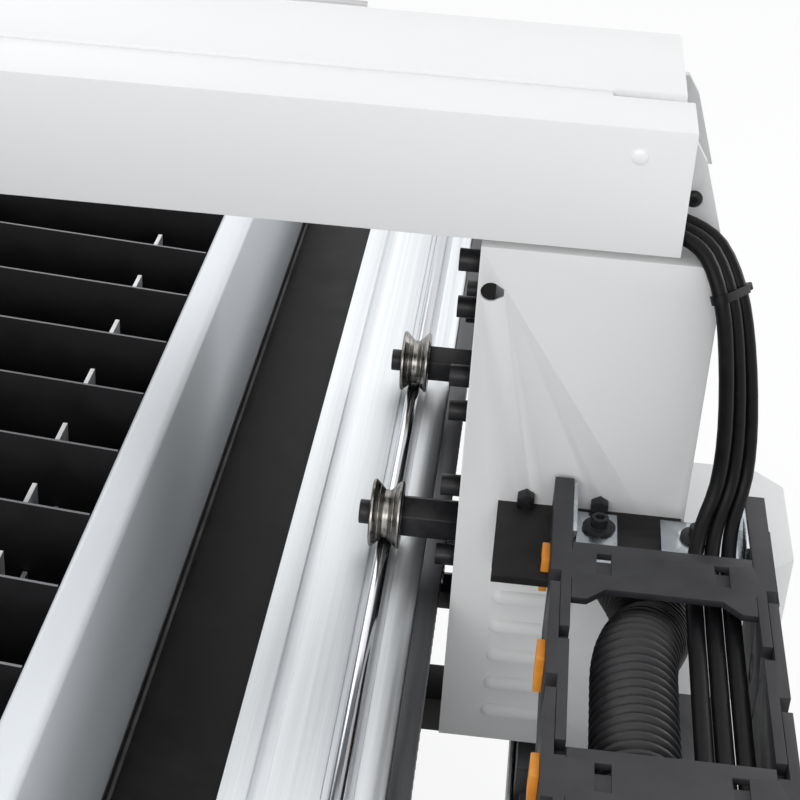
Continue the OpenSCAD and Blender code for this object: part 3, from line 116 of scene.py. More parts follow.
def sees_white(tree):
    """1 for camera, mirror and transmitted rays, which see plain white, and 0 for rays that carry light."""
    path = new_node(tree, "LightPath")
    either = new_node(tree, "Math", "MAXIMUM")
    any_ray = new_node(tree, "Math", "MAXIMUM")
    tree.links.new(path.outputs["Is Camera Ray"], either.inputs[0])
    tree.links.new(path.outputs["Is Glossy Ray"], either.inputs[1])
    tree.links.new(either.outputs[0], any_ray.inputs[0])
    tree.links.new(path.outputs["Is Transmission Ray"], any_ray.inputs[1])
    return any_ray.outputs[0]


def mix_surfaces(tree, factor, first, second, output):
    """Mixes two shaders into the output: the first at factor 0, the second at 1."""
    mix = new_node(tree, "MixShader")
    out = new_node(tree, output)
    tree.links.new(factor, mix.inputs["Fac"])
    tree.links.new(first.outputs[0], mix.inputs[1])
    tree.links.new(second.outputs[0], mix.inputs[2])
    tree.links.new(mix.outputs[0], out.inputs["Surface"])


world = bpy.data.worlds.new("white_room")
scene.world = world
world.use_nodes = True
tree = world.node_tree
tree.nodes.clear()
room = new_node(tree, "Background", Color=white, Strength=room_strength)
light = new_node(tree, "Background", Color=light_tint, Strength=light_strength)
mix_surfaces(tree, sees_white(tree), light, room, "OutputWorld")


def lamp(name, place, aim, size, power):
    """A rectangular lamp at place that looks at aim: its two sides in metres and its power in watts."""
    data = bpy.data.lights.new(name, "AREA")
    data.shape = "RECTANGLE"
    data.size, data.size_y = size
    data.energy = power
    obj = bpy.data.objects.new(name, data)
    obj.location = place
    obj.rotation_mode = "QUATERNION"
    obj.rotation_quaternion = (Vector(aim) - Vector(place)).to_track_quat("-Z", "Y")
    scene.collection.objects.link(obj)


lamp("overhead_lamp", (-0.6, 0.7, 3.6), (-0.2, 0.5, 0.8), (6.0, 5.0), 56)
lamp("front_lamp", (-0.1, -4.2, 2.5), (0.8, 0.0, 0.85), (4.0, 1.8), 86)
lamp("side_lamp", (4.2, 2.2, 2.0), (0.7, 0.0, 0.8), (2.6, 2.0), 60)
lamp("back_lamp", (-1.0, 3.6, 2.4), (0.4, 0.2, 0.8), (2.4, 1.4), 14)

bpy.ops.object.select_all(action="DESELECT")
bpy.ops.mesh.primitive_plane_add(size=floor_size, location=(0, 0, 0))
floor = bpy.context.object
floor.name = "studio_floor"
floor_look = bpy.data.materials.new("studio_floor")
floor_look.use_nodes = True
tree = floor_look.node_tree
tree.nodes.clear()
surface = new_node(tree, "BsdfDiffuse", Color=floor_tone)
glow = new_node(tree, "Emission", Color=white, Strength=1.0)
share = new_node(tree, "Math", "MULTIPLY")
share.inputs[1].default_value = white_share
tree.links.new(sees_white(tree), share.inputs[0])
mix_surfaces(tree, share.outputs[0], surface, glow, "OutputMaterial")
floor.data.materials.append(floor_look)

# %% [markdown]
# ## Shared surface effects
# Paint, drawn metal and plastic differ in colour, but they share what happens to a surface: a fine grain,
# long draw lines, dust on faces that look up, and bright wear along edges. Each effect is one node group,
# built once and placed in a material with its own values. A group puts out only a number between 0 and 1.

# %% Node groups
grain_roughness = 0.55
wear_detail, dust_detail = 5, 6
wear_samples = 4
wear_patches, wear_bend = (0.45, 0.62), (0.02, 0.2)
dust_patches, dust_slope = (0.35, 0.75), (0.5, 0.95)
top_from = 0.8


def new_group(name, inputs):
    group = bpy.data.node_groups.new(name, "ShaderNodeTree")
    for label, value in inputs:
        kind = "NodeSocketVector" if isinstance(value, tuple) else "NodeSocketFloat"
        socket = group.interface.new_socket(label, in_out="INPUT", socket_type=kind)
        socket.default_value = value
    group.interface.new_socket("Value", in_out="OUTPUT", socket_type="NodeSocketFloat")
    start = group.nodes.new("NodeGroupInput")
    end = group.nodes.new("NodeGroupOutput")
    return group, start, end


def math_node(tree, operation, a, b, clamp=False):
    node = new_node(tree, "Math", operation)
    node.use_clamp = clamp
    for socket, value in zip(node.inputs, (a, b)):
        if isinstance(value, (int, float)):
            socket.default_value = value
        else:
            tree.links.new(value, socket)
    return node.outputs[0]


def remap(tree, value, low, high):
    node = new_node(tree, "MapRange", **{"From Min": low, "From Max": high})
    node.clamp = True
    tree.links.new(value, node.inputs["Value"])
    return node.outputs["Result"]


def own_noise(group, start, **values):
    """Noise in the piece's own space, at the group's Scale, and stretched where the group has a Stretch."""
    place = new_node(group, "TexCoord").outputs["Object"]
    if "Stretch" in start.outputs:
        stretch = new_node(group, "Mapping")
        group.links.new(place, stretch.inputs["Vector"])
        group.links.new(start.outputs["Stretch"], stretch.inputs["Scale"])
        place = stretch.outputs[0]
    noise = new_node(group, "TexNoise", **values)
    group.links.new(place, noise.inputs["Vector"])
    group.links.new(start.outputs["Scale"], noise.inputs["Scale"])
    return noise


def facing_up(group):
    """How far a face looks up: the normal's z."""
    flat = new_node(group, "NewGeometry")
    parts = new_node(group, "SeparateXYZ")
    group.links.new(flat.outputs["Normal"], parts.inputs[0])
    return parts.outputs["Z"]


# grain: noise in the piece's own space, stretched along the axes
grain, start, end = new_group("grain", [("Scale", 400.0), ("Detail", 3.0), ("Stretch", (1.0, 1.0, 1.0))])
noise = own_noise(grain, start, Roughness=grain_roughness)
grain.links.new(start.outputs["Detail"], noise.inputs["Detail"])
grain.links.new(noise.outputs["Fac"], end.inputs["Value"])

# wear: where the rounded normal leaves the flat one, broken up by noise
wear, start, end = new_group("edge_wear", [("Radius", 0.0012), ("Amount", 0.5), ("Scale", 140.0)])
rounded = new_node(wear, "Bevel")
rounded.samples = wear_samples
flat = new_node(wear, "NewGeometry")
along = new_node(wear, "VectorMath", "DOT_PRODUCT")
noise = own_noise(wear, start, Detail=wear_detail)
wear.links.new(start.outputs["Radius"], rounded.inputs["Radius"])
wear.links.new(rounded.outputs[0], along.inputs[0])
wear.links.new(flat.outputs["Normal"], along.inputs[1])
bent = math_node(wear, "SUBTRACT", 1.0, along.outputs["Value"])
patchy = remap(wear, noise.outputs["Fac"], *wear_patches)
worn = math_node(wear, "MULTIPLY", remap(wear, bent, *wear_bend), patchy)
wear.links.new(math_node(wear, "MULTIPLY", worn, start.outputs["Amount"], True), end.inputs["Value"])

# dust: on faces that look up, in soft patches
dust, start, end = new_group("settled_dust", [("Amount", 0.3), ("Scale", 30.0)])
noise = own_noise(dust, start, Detail=dust_detail)
upward = remap(dust, facing_up(dust), *dust_slope)
patchy = remap(dust, noise.outputs["Fac"], *dust_patches)
laid = math_node(dust, "MULTIPLY", upward, patchy)
dust.links.new(math_node(dust, "MULTIPLY", laid, start.outputs["Amount"], True), end.inputs["Value"])

# cut edge highlight: 1 on faces that look straight up, such as the cut top edges of plates; their lighter tone is
# bright cut steel and also a painted highlight of the overhead light
cut_edge_highlight, start, end = new_group("cut_edge_highlight", [("From", top_from)])
step = math_node(cut_edge_highlight, "GREATER_THAN", facing_up(cut_edge_highlight), start.outputs["From"])
cut_edge_highlight.links.new(step, end.inputs["Value"])
print("groups", [g.name for g in bpy.data.node_groups])

# %% [markdown]
# ## Finishes
# Each finish is a Principled surface. Its base colour is mixed from a darker and a lighter tone by grain,
# then dust and edge wear go over it. Roughness follows the same grain, so that a highlight breaks up as it
# does on real paint or drawn metal, and a small bump gives orange peel, draw lines or a thread.

# %% Finish maker
tone_spread = (0.3, 0.7)
dust_tone = (0.62, 0.60, 0.57)
coat_roughness, peel_detail, peel_depth, thread_share = 0.08, 2.0, 0.0004, 0.25
wave_repeat = 2 * math.pi / 20  # a Wave texture repeats at this distance where its scale is 1


def group_node(tree, group, **values):
    node = new_node(tree, "Group")
    node.node_tree = group
    for label, value in values.items():
        node.inputs[label].default_value = value
    return node.outputs[0]


def blend_colour(tree, factor, a, b):
    node = new_node(tree, "Mix")
    node.data_type = "RGBA"  # its colour sockets are inputs 6 and 7 and output 2
    tree.links.new(factor, node.inputs["Factor"])
    for socket, value in ((node.inputs[6], a), (node.inputs[7], b)):
        if isinstance(value, tuple):
            socket.default_value = (*value, 1)
        else:
            tree.links.new(value, socket)
    return node.outputs[2]


def raised(tree, height, shader, **values):
    """A bump from a height, into the shader's normal."""
    bump = new_node(tree, "Bump", **values)
    tree.links.new(height, bump.inputs["Height"])
    tree.links.new(bump.outputs[0], shader.inputs["Normal"])


def finish(name, dark, light, rough, metal=0.0, scale=60.0, stretch=(1, 1, 1), peel=0.0, peel_scale=900.0,
           dusty=0.0, worn=0.0, worn_tone=(0.6, 0.6, 0.6), top_tone=None, coat=0.0, fine=3.0, gloss=0.5,
           thread=0.0):
    """A material: two tones and two roughnesses spread by grain, and what lies on it. A thread is a pitch."""
    look = bpy.data.materials.new(name)
    look.use_nodes = True
    tree = look.node_tree
    shader = tree.nodes["Principled BSDF"]
    shader.inputs["Metallic"].default_value = metal
    shader.inputs["Coat Weight"].default_value = coat
    shader.inputs["Specular IOR Level"].default_value = gloss
    shader.inputs["Coat Roughness"].default_value = coat_roughness
    spread = remap(tree, group_node(tree, grain, Scale=scale, Detail=fine, Stretch=stretch), *tone_spread)
    colour = blend_colour(tree, spread, dark, light)
    # painted highlight: faces that look up take a lighter tone, both bright cut steel and the overhead light on
    # them
    if top_tone:
        colour = blend_colour(tree, group_node(tree, cut_edge_highlight, From=top_from), colour, top_tone)
    if dusty:
        colour = blend_colour(tree, group_node(tree, dust, Amount=dusty), colour, dust_tone)
    if worn:
        colour = blend_colour(tree, group_node(tree, wear, Amount=worn), colour, worn_tone)
    tree.links.new(colour, shader.inputs["Base Color"])
    roughness = new_node(tree, "MapRange", **{"To Min": rough[0], "To Max": rough[1]})
    tree.links.new(spread, roughness.inputs["Value"])
    tree.links.new(roughness.outputs["Result"], shader.inputs["Roughness"])
    if peel:
        height = group_node(tree, grain, Scale=peel_scale, Detail=peel_detail, Stretch=stretch)
        raised(tree, height, shader, Strength=peel, Distance=peel_depth)
    if thread:
        coords = new_node(tree, "TexCoord")
        turns = new_node(tree, "TexWave", Scale=wave_repeat / thread)
        turns.bands_direction = "Z"
        tree.links.new(coords.outputs["Object"], turns.inputs["Vector"])
        raised(tree, turns.outputs["Fac"], shader, Distance=thread * thread_share)
    return look


# %% [markdown]
# ## The finishes of this table
# The covers are pale grey powder coat with a faint orange peel, a darker copy of the duct's coat as painted
# shade. The guard is a smoother, shinier coat. The rail is drawn aluminium with lines along its length. The
# slats are black hot rolled plate with bright cut edges, lighter on faces that look up also as painted
# highlight. The wheels have a brown film from running dry on the rods.

# %% Finishes
looks = {}


def add_finish(name, *tones, **values):
    looks[name] = finish(name, *tones, **values)


# painted shade: the covers' coat is the duct's white coat made darker, for covers that stand lower in less light
add_finish("cover_paint_shaded", (0.745, 0.745, 0.745), (0.76, 0.76, 0.76), (0.50, 0.56), scale=9, peel=0.08,
           peel_scale=700, dusty=0.03, gloss=0.3)
add_finish("duct_paint", (0.85, 0.85, 0.85), (0.865, 0.865, 0.865), (0.46, 0.52), scale=9, peel=0.08,
           peel_scale=700, dusty=0.03, gloss=0.35)
add_finish("frame_paint", (0.78, 0.78, 0.79), (0.84, 0.84, 0.85), (0.38, 0.50), scale=9, peel=0.14,
           peel_scale=700, dusty=0.15, worn=0.25, worn_tone=(0.42, 0.41, 0.40))
add_finish("guard_paint", (0.78, 0.80, 0.83), (0.80, 0.82, 0.85), (0.30, 0.34), scale=6, peel=0.05,
           peel_scale=500, coat=0.1)
add_finish("black_paint", (0.007, 0.0066, 0.0064), (0.013, 0.012, 0.0115), (0.46, 0.62), scale=30,
           peel=0.10, peel_scale=900, dusty=0.02, worn=0.2, worn_tone=(0.16, 0.15, 0.15), gloss=0.16)
add_finish("tray_steel", (0.010, 0.009, 0.008), (0.028, 0.024, 0.021), (0.5, 0.8), scale=18, peel=0.2,
           peel_scale=260, dusty=0.1, gloss=0.25)
# slats and combs: lighter on faces that look up, as bright cut steel and as painted highlight
add_finish("slat_steel", (0.004, 0.004, 0.0045), (0.009, 0.009, 0.0105), (0.48, 0.7), scale=24, peel=0.12,
           peel_scale=320, top_tone=(0.24, 0.24, 0.25), gloss=0.22)
add_finish("comb_steel", (0.20, 0.21, 0.22), (0.34, 0.35, 0.36), (0.38, 0.55), metal=0.6, scale=40,
           peel=0.08, peel_scale=300, top_tone=(0.6, 0.6, 0.61))
add_finish("rail_metal", (0.70, 0.72, 0.74), (0.80, 0.82, 0.84), (0.46, 0.58), metal=0.85, scale=420,
           stretch=(1, 0.006, 1), peel=0.05, peel_scale=1100)
add_finish("rod_steel", (0.50, 0.51, 0.54), (0.70, 0.71, 0.74), (0.10, 0.22), metal=1.0, scale=300,
           stretch=(1, 0.02, 1), peel=0.04, peel_scale=1200)
add_finish("wheel_steel", (0.13, 0.12, 0.11), (0.38, 0.37, 0.35), (0.20, 0.40), metal=1.0, scale=260,
           stretch=(2.6, 0.5, 0.5), peel=0.10, peel_scale=700)
add_finish("black_oxide", (0.007, 0.007, 0.008), (0.016, 0.016, 0.018), (0.34, 0.50), scale=180, peel=0.10,
           peel_scale=1400, worn=0.3, worn_tone=(0.18, 0.18, 0.19), gloss=0.3)
add_finish("rack_steel", (0.045, 0.046, 0.050), (0.085, 0.086, 0.092), (0.35, 0.5), metal=0.7, scale=160,
           stretch=(1, 0.06, 1), peel=0.08, peel_scale=800, worn=0.3, worn_tone=(0.35, 0.35, 0.36))
add_finish("bright_steel", (0.44, 0.44, 0.45), (0.62, 0.62, 0.63), (0.20, 0.36), metal=1.0, scale=220,
           stretch=(0.05, 1, 1), peel=0.06, peel_scale=900)
add_finish("screw_steel", (0.40, 0.40, 0.41), (0.56, 0.56, 0.57), (0.22, 0.36), metal=1.0, scale=220,
           thread=0.005)
add_finish("zinc_plate", (0.46, 0.50, 0.54), (0.66, 0.70, 0.73), (0.16, 0.34), metal=1.0, scale=70,
           peel=0.05, peel_scale=600, fine=5)
add_finish("aluminium", (0.62, 0.62, 0.63), (0.74, 0.74, 0.75), (0.30, 0.42), metal=1.0, scale=300,
           stretch=(0.04, 1, 1), peel=0.08, peel_scale=900)
add_finish("motor_black", (0.014, 0.014, 0.015), (0.028, 0.028, 0.030), (0.36, 0.5), scale=60, peel=0.12,
           peel_scale=900, dusty=0.12)
add_finish("chain_plastic", (0.018, 0.018, 0.021), (0.026, 0.026, 0.030), (0.42, 0.54), scale=90, peel=0.10,
           peel_scale=1500, dusty=0.02, gloss=0.32)
add_finish("cable_jacket", (0.003, 0.003, 0.0035), (0.006, 0.006, 0.007), (0.36, 0.46), scale=120,
           peel=0.05, peel_scale=1200, gloss=0.14)
add_finish("hose_plastic", (0.014, 0.014, 0.015), (0.022, 0.022, 0.024), (0.42, 0.54), scale=120, peel=0.06,
           peel_scale=1600, gloss=0.35)
add_finish("grey_plastic", (0.045, 0.046, 0.049), (0.070, 0.071, 0.075), (0.4, 0.55), scale=60, peel=0.10,
           peel_scale=1400)
add_finish("rubber", (0.014, 0.014, 0.015), (0.026, 0.026, 0.028), (0.55, 0.72), scale=120, peel=0.12,
           peel_scale=1500, dusty=0.15)
add_finish("clip_orange", (0.72, 0.24, 0.015), (0.86, 0.34, 0.03), (0.34, 0.46), scale=80, peel=0.06,
           peel_scale=1500)
add_finish("torch_body", (0.016, 0.016, 0.018), (0.030, 0.030, 0.033), (0.34, 0.5), scale=90, peel=0.10,
           peel_scale=1500)
add_finish("copper", (0.50, 0.22, 0.12), (0.72, 0.36, 0.22), (0.20, 0.42), metal=1.0, scale=160, peel=0.06,
           peel_scale=900)
add_finish("plug_white", (0.90, 0.90, 0.90), (0.95, 0.95, 0.95), (0.30, 0.40), scale=60, peel=0.03)
print("finishes", len(looks))

# %% [markdown]
# ## Softened solids
# Sheet, plate and bar never have razor edges, and it is the thin highlight on a rounded edge that makes a
# solid look real. A CAD node can't be changed, so a copy of it is merged, cleared of its flat triangles,
# and given a narrow bevel. The copy then stands for the node and rides on the same body.

# %% Softening
weld, cad_weld = 1e-6, 2e-6
flat_within, bevel_from, smooth_within = math.radians(0.5), math.radians(32), math.radians(34)
facing = 0.9


def only(obj):
    """Makes obj the only selected object, in object mode."""
    if bpy.context.mode != "OBJECT":
        bpy.ops.object.mode_set(mode="OBJECT")
    bpy.ops.object.select_all(action="DESELECT")
    bpy.context.view_layer.objects.active = obj
    obj.select_set(True)
    return obj


def wear_finish(obj, look):
    obj.data.materials.clear()
    obj.data.materials.append(looks[look])
    return obj


def copy_of(node, name):
    source = frame["nodes"][node]
    piece = bpy.data.objects.new(name, source.data.copy())
    scene.collection.objects.link(piece)
    only(piece)
    bpy.ops.object.mode_set(mode="EDIT")
    bpy.ops.mesh.select_all(action="SELECT")
    bpy.ops.mesh.customdata_custom_splitnormals_clear()
    bpy.ops.mesh.remove_doubles(threshold=cad_weld)
    bpy.ops.mesh.dissolve_limited(angle_limit=flat_within)
    bpy.ops.object.mode_set(mode="OBJECT")
    return piece


def round_edges(piece, width, segments=2):
    only(piece)
    bpy.ops.object.modifier_add(type="BEVEL")
    bevel = piece.modifiers[-1]
    bevel.width = width
    bevel.segments = segments
    bevel.limit_method = "ANGLE"
    bevel.angle_limit = bevel_from
    bevel.use_clamp_overlap = True
    bpy.ops.object.modifier_apply(modifier=bevel.name)
    bpy.ops.object.shade_smooth_by_angle(angle=smooth_within)
    return piece


def stand_for(piece, look, *nodes):
    wear_finish(piece, look)
    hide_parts(*nodes)
    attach(piece, body_of[nodes[0]])
    return piece


softened = {
    "front_leg_frame": ("frame_paint", 3.0), "rear_leg_frame": ("frame_paint", 3.0),
    "stretchers": ("frame_paint", 3.0), "side_beams": ("black_paint", 1.5),
    "levelling_feet": ("black_oxide", 1.2), "slag_tray": ("tray_steel", 0.8),
    "end_guards": ("guard_paint", 0.9), "combs": ("comb_steel", 0.3), "slats": ("slat_steel", 0.25),
    "rails": ("rail_metal", 0.4), "rail_rods": ("rod_steel", 0.5), "racks": ("rack_steel", 0.25),
    "end_stops": ("rubber", 2.0), "chain_tray": ("frame_paint", 0.7), "tray_arms": ("black_paint", 2.0),
    "junction_box": ("grey_plastic", 1.0), "junction_lid": ("grey_plastic", 1.0),
    "left_end_plate": ("black_paint", 0.8), "right_end_plate": ("black_paint", 0.8),
    "end_frames": ("cover_paint_shaded", 0.8), "left_end_cover": ("cover_paint_shaded", 0.6),
    "right_end_cover": ("cover_paint_shaded", 0.6), "motor_covers": ("cover_paint_shaded", 1.6),
    "drive_motors": ("motor_black", 2.0), "beam_tube": ("duct_paint", 2.0),
    "cable_duct": ("duct_paint", 0.7), "wheel_standoffs": ("black_oxide", 1.0),
    "wheel_bolts": ("black_oxide", 0.9), "plate_screws": ("black_oxide", 0.9),
    "chain_bracket": ("black_paint", 1.0), "chain_angles": ("zinc_plate", 0.7),
    "bracket_fasteners": ("black_oxide", 0.5), "hose_gland": ("chain_plastic", 1.2),
    "cross_rails": ("bright_steel", 0.6), "cross_rack": ("rack_steel", 0.2),
    "left_pinion": ("bright_steel", 0.25), "right_pinion": ("bright_steel", 0.25),
    "cross_pinion": ("bright_steel", 0.2), "torch_carriage": ("aluminium", 0.8),
    "carriage_blocks": ("bright_steel", 0.8), "carriage_motors": ("motor_black", 2.0),
    "lift_rail": ("bright_steel", 0.6), "lift_screw": ("screw_steel", 0.6),
    "lift_slide": ("aluminium", 0.8), "torch": ("torch_body", 0.5),
    "chain_end_link": ("chain_plastic", 0.9), "chain_bend_links": ("chain_plastic", 0.9),
}  # node: finish and width of the rounded edge in mm
for node, (look, width) in softened.items():
    piece = copy_of(node, node + "_dressed")
    round_edges(piece, width * mm)
    stand_for(piece, look, node)
print("softened", len(softened))

# %% [markdown]
# ## Folded side guards
# Each guard is one sheet folded twice: a wall on the side beam, a top face, and a short lip towards the
# bed. The folds have a radius that catches the overhead light as a broad white band. A line is extruded
# through the section's corners, the corners are rounded as vertices, the line is drawn out along the rail,
# and a Solidify modifier gives the sheet its thickness inward.

# %% Side guards
fold_r, fold_steps, sheet_t = 4.5 * mm, 6, 2.5 * mm
lip_h, guard_w = 18 * mm, 23 * mm


def select_all_then(action, **values):
    """In edit mode, selects everything and runs a mesh operator on it."""
    bpy.ops.mesh.select_all(action="SELECT")
    action(**values)


def give_sheet(piece, thickness, offset=-1):
    """Gives a surface its thickness, inward unless the offset says otherwise."""
    only(piece)
    bpy.ops.object.modifier_add(type="SOLIDIFY")
    solid = piece.modifiers[-1]
    solid.thickness = thickness
    solid.offset = offset
    bpy.ops.object.modifier_apply(modifier=solid.name)


def section_line(name, points):
    """A chain of vertices through points, made by extruding a single vertex as by hand."""
    bpy.ops.object.select_all(action="DESELECT")
    bpy.ops.mesh.primitive_plane_add(size=1, location=(0, 0, 0))
    piece = bpy.context.object
    piece.name = name
    bpy.ops.object.mode_set(mode="EDIT")
    bpy.ops.mesh.select_mode(type="VERT")
    bpy.ops.mesh.select_all(action="SELECT")
    bpy.ops.mesh.merge(type="CENTER")
    bpy.ops.transform.translate(value=points[0])
    for a, b in zip(points, points[1:]):
        bpy.ops.mesh.extrude_region_move(TRANSFORM_OT_translate={"value": Vector(b) - Vector(a)})
    return piece


def inner_vertices(piece):
    """In edit mode, selects every vertex of a line but its two ends."""
    bpy.ops.object.mode_set(mode="OBJECT")
    count = [0] * len(piece.data.vertices)
    for edge in piece.data.edges:
        for v in edge.vertices:
            count[v] += 1
    for v in piece.data.vertices:
        v.select = count[v.index] == 2
    for edge in piece.data.edges:
        edge.select = False
    bpy.ops.object.mode_set(mode="EDIT")


low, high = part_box("side_guards")
sides = (("left", -1), ("right", 1))
for side, sign in sides:
    wall_x, lip_x = sign * high.x, sign * (high.x - guard_w)
    corners = [(wall_x, low.y, low.z), (wall_x, low.y, high.z), (lip_x, low.y, high.z),
               (lip_x, low.y, high.z - lip_h)]
    guard = section_line(side + "_guard_sheet", corners)
    inner_vertices(guard)
    bpy.ops.mesh.bevel(offset=fold_r, segments=fold_steps, affect="VERTICES")
    along_rail = {"value": (0, high.y - low.y, 0)}
    select_all_then(bpy.ops.mesh.extrude_region_move, TRANSFORM_OT_translate=along_rail)
    select_all_then(bpy.ops.mesh.normals_make_consistent, inside=False)
    bpy.ops.object.mode_set(mode="OBJECT")
    top_face = max(guard.data.polygons, key=lambda p: p.center.z)
    if top_face.normal.z < 0:
        only(guard)
        bpy.ops.object.mode_set(mode="EDIT")
        select_all_then(bpy.ops.mesh.flip_normals)
    give_sheet(guard, sheet_t)
    bpy.ops.object.shade_smooth_by_angle(angle=smooth_within)
    wear_finish(guard, "guard_paint")
    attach(guard, "table")
    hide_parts("side_guards")
print("guards", fold_r, sheet_t)

# %% [markdown]
# ## Seal along the guard's foot
# A dark rubber strip closes the joint between the guard and the side beam. It is a flat bar with a raised
# bead on its outer edge. A cube is drawn out to the rail's length and cut along it, its outer top face is
# extruded up as a bead, and a bevel rounds it.

# %% Seal strips
seal_w, seal_h, bead_h, seal_round = 5.5 * mm, 2.5 * mm, 1.8 * mm, 0.7 * mm
bead_share, cut_share, seal_steps = 0.65, 0.3, 3
for side, sign in sides:
    x = high.x + seal_w / 2
    bpy.ops.object.select_all(action="DESELECT")
    bpy.ops.mesh.primitive_cube_add(size=1, location=(sign * x, 0, low.z + seal_h / 2))
    seal = bpy.context.object
    seal.name = side + "_guard_seal"
    seal.scale = (seal_w, high.y - low.y, seal_h)
    bpy.ops.object.transform_apply(location=True, rotation=True, scale=True)
    bpy.ops.object.mode_set(mode="EDIT")
    for share in (bead_share, cut_share):
        cut_at = (sign * (high.x + seal_w * share), 0, 0)
        select_all_then(bpy.ops.mesh.bisect, plane_co=cut_at, plane_no=(1, 0, 0))
    bpy.ops.object.mode_set(mode="OBJECT")
    for face in seal.data.polygons:
        outer = abs(face.center.x) > high.x + seal_w * bead_share
        face.select = face.normal.z > facing and outer
    bpy.ops.object.mode_set(mode="EDIT")
    bpy.ops.mesh.select_mode(type="FACE")
    bpy.ops.mesh.extrude_region_move(TRANSFORM_OT_translate={"value": (0, 0, bead_h)})
    bpy.ops.object.mode_set(mode="OBJECT")
    round_edges(seal, seal_round, seal_steps)
    wear_finish(seal, "rubber")
    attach(seal, "table")
print("seals", seal_w)

# %% [markdown]
# ## Grooved wheels
# The wheels are turned steel rollers on sealed bearings: two rims, a V groove that fits the rod, a fine
# turned line in each flank, and a recessed bearing shield. A half section is drawn as a chain of vertices
# and spun round the axle, which is how a lathe makes the real one. The six wheels each ride on their own
# body.

# %% Wheels
wheel_steps, near_bore, wheel_smooth = 72, 1e-5, math.radians(28)
wheel_r, wheel_half, bore_r = 21 * mm, 9.5 * mm, 5.05 * mm
rim_in, floor_r, floor_half = 7.5 * mm, 15.1 * mm, 1.6 * mm
shield_r, ring_r, shield_deep = 15 * mm, 8 * mm, 0.6 * mm
line_deep, rim_cut = 0.3 * mm, 0.7 * mm
flank_x, flank_r = 4.6 * mm, 18.1 * mm
half = [(wheel_half, bore_r), (wheel_half, ring_r), (wheel_half - shield_deep, ring_r),
        (wheel_half - shield_deep, shield_r), (wheel_half, shield_r), (wheel_half, wheel_r - rim_cut),
        (wheel_half - rim_cut, wheel_r), (rim_in + rim_cut / 3, wheel_r), (rim_in, wheel_r - rim_cut / 4),
        (flank_x + line_deep, flank_r + line_deep), (flank_x, flank_r - line_deep),
        (flank_x - line_deep, flank_r - line_deep), (floor_half, floor_r)]
outline = half + [(-x, r) for x, r in reversed(half)]
wheel_nodes = [n for n in body_of if n.endswith("_wheel")]
for node in wheel_nodes:
    centre = joint_at[node + "_spin"]
    wheel = section_line(node + "_turned", [(centre.x + x, centre.y, centre.z + r) for x, r in outline])
    select_all_then(bpy.ops.mesh.spin, steps=wheel_steps, angle=2 * math.pi, center=centre, axis=(1, 0, 0))
    select_all_then(bpy.ops.mesh.remove_doubles, threshold=weld)
    bpy.ops.mesh.select_all(action="DESELECT")
    bpy.ops.object.mode_set(mode="OBJECT")
    rim = {v.index for v in wheel.data.vertices if abs((v.co - centre).yz.length - bore_r) < near_bore}
    for v in wheel.data.vertices:
        v.select = v.index in rim
    for e in wheel.data.edges:
        e.select = all(v in rim for v in e.vertices)
    bpy.ops.object.mode_set(mode="EDIT")
    bpy.ops.mesh.select_mode(type="EDGE")
    bpy.ops.mesh.bridge_edge_loops()
    select_all_then(bpy.ops.mesh.normals_make_consistent, inside=False)
    bpy.ops.object.mode_set(mode="OBJECT")
    bpy.ops.object.shade_smooth_by_angle(angle=wheel_smooth)
    stand_for(wheel, "wheel_steel", node)
    print(node, "vertices", len(wheel.data.vertices))
print("wheels turned", len(wheel_nodes))

# %% [markdown]
# ## Cables from the duct to the chain
# Three control cables leave the open end of the duct, bend over the corner of the end cover and drop into
# the chain. Their sheaths are smooth and black. Each is a poly curve with a round bevel, along the same
# smooth line as its solid. A curve keeps its length exactly, which a cord has to do, and it needs no mesh
# work. A tie holds them together: a band drawn round the three as a loop of vertices, with a small lock at
# its end.

# %% Drop cables
cable_d, drop_spread = 8.5 * mm, 9.9
drop_route = [(118, -12, 218), (140, -13, 218), (156, -16, 216), (170, -26, 210), (181, -38, 191),
              (189, -44, 160), (195.5, -49, 117), (196.5, -55, 84), (191, -68, 62), (188.5, -86, 52),
              (188, -101, 49), (187.5, -112, 49)]
drop_steps, bevel_steps = 3, 5
tie_step, tie_w, tie_t, tie_sides, tie_out, tie_smooth = 12, 4.8 * mm, 1.4 * mm, 32, 0.9, math.radians(40)
lock_size, lock_gap, lock_round = Vector((5, 5.5, 4.5)) * mm, 3 * mm, 0.8 * mm


def at_axle(x, y, z):
    return axle + Vector((x, y, z)) * mm


def smooth_line(points, steps):
    """Points along a smooth line through the given ones, a number of steps for each stretch."""
    line = []
    last = len(points) - 1
    for i in range(last):
        a, b, c, d = (Vector(points[j]) for j in (max(i - 1, 0), i, i + 1, min(i + 2, last)))
        for step in range(steps):
            t = step / steps
            line.append((2 * b + (c - a) * t + (2 * a - 5 * b + 4 * c - d) * t * t
                         + (3 * b - a - 3 * c + d) * t ** 3) / 2)
    return line + [Vector(points[last])]


def line_curve(name, points, radius=0.0):
    """An open curve through points, with a round bevel where a radius is given."""
    data = bpy.data.curves.new(name, "CURVE")
    data.dimensions = "3D"
    data.bevel_depth = radius
    data.bevel_resolution = bevel_steps
    data.use_fill_caps = True
    data.use_path = True
    spline = data.splines.new("POLY")
    spline.points.add(len(points) - 1)
    for knot, place in zip(spline.points, points):
        knot.co = (*place, 1)
    spline.use_smooth = True
    curve = bpy.data.objects.new(name, data)
    scene.collection.objects.link(curve)
    return curve


def across(step):
    """The direction from cable to cable at a step of the route: it turns from along the rail to across it."""
    turn = math.pi / 2 * step / (len(middle) - 1)
    return Vector((math.sin(turn), math.cos(turn), 0))


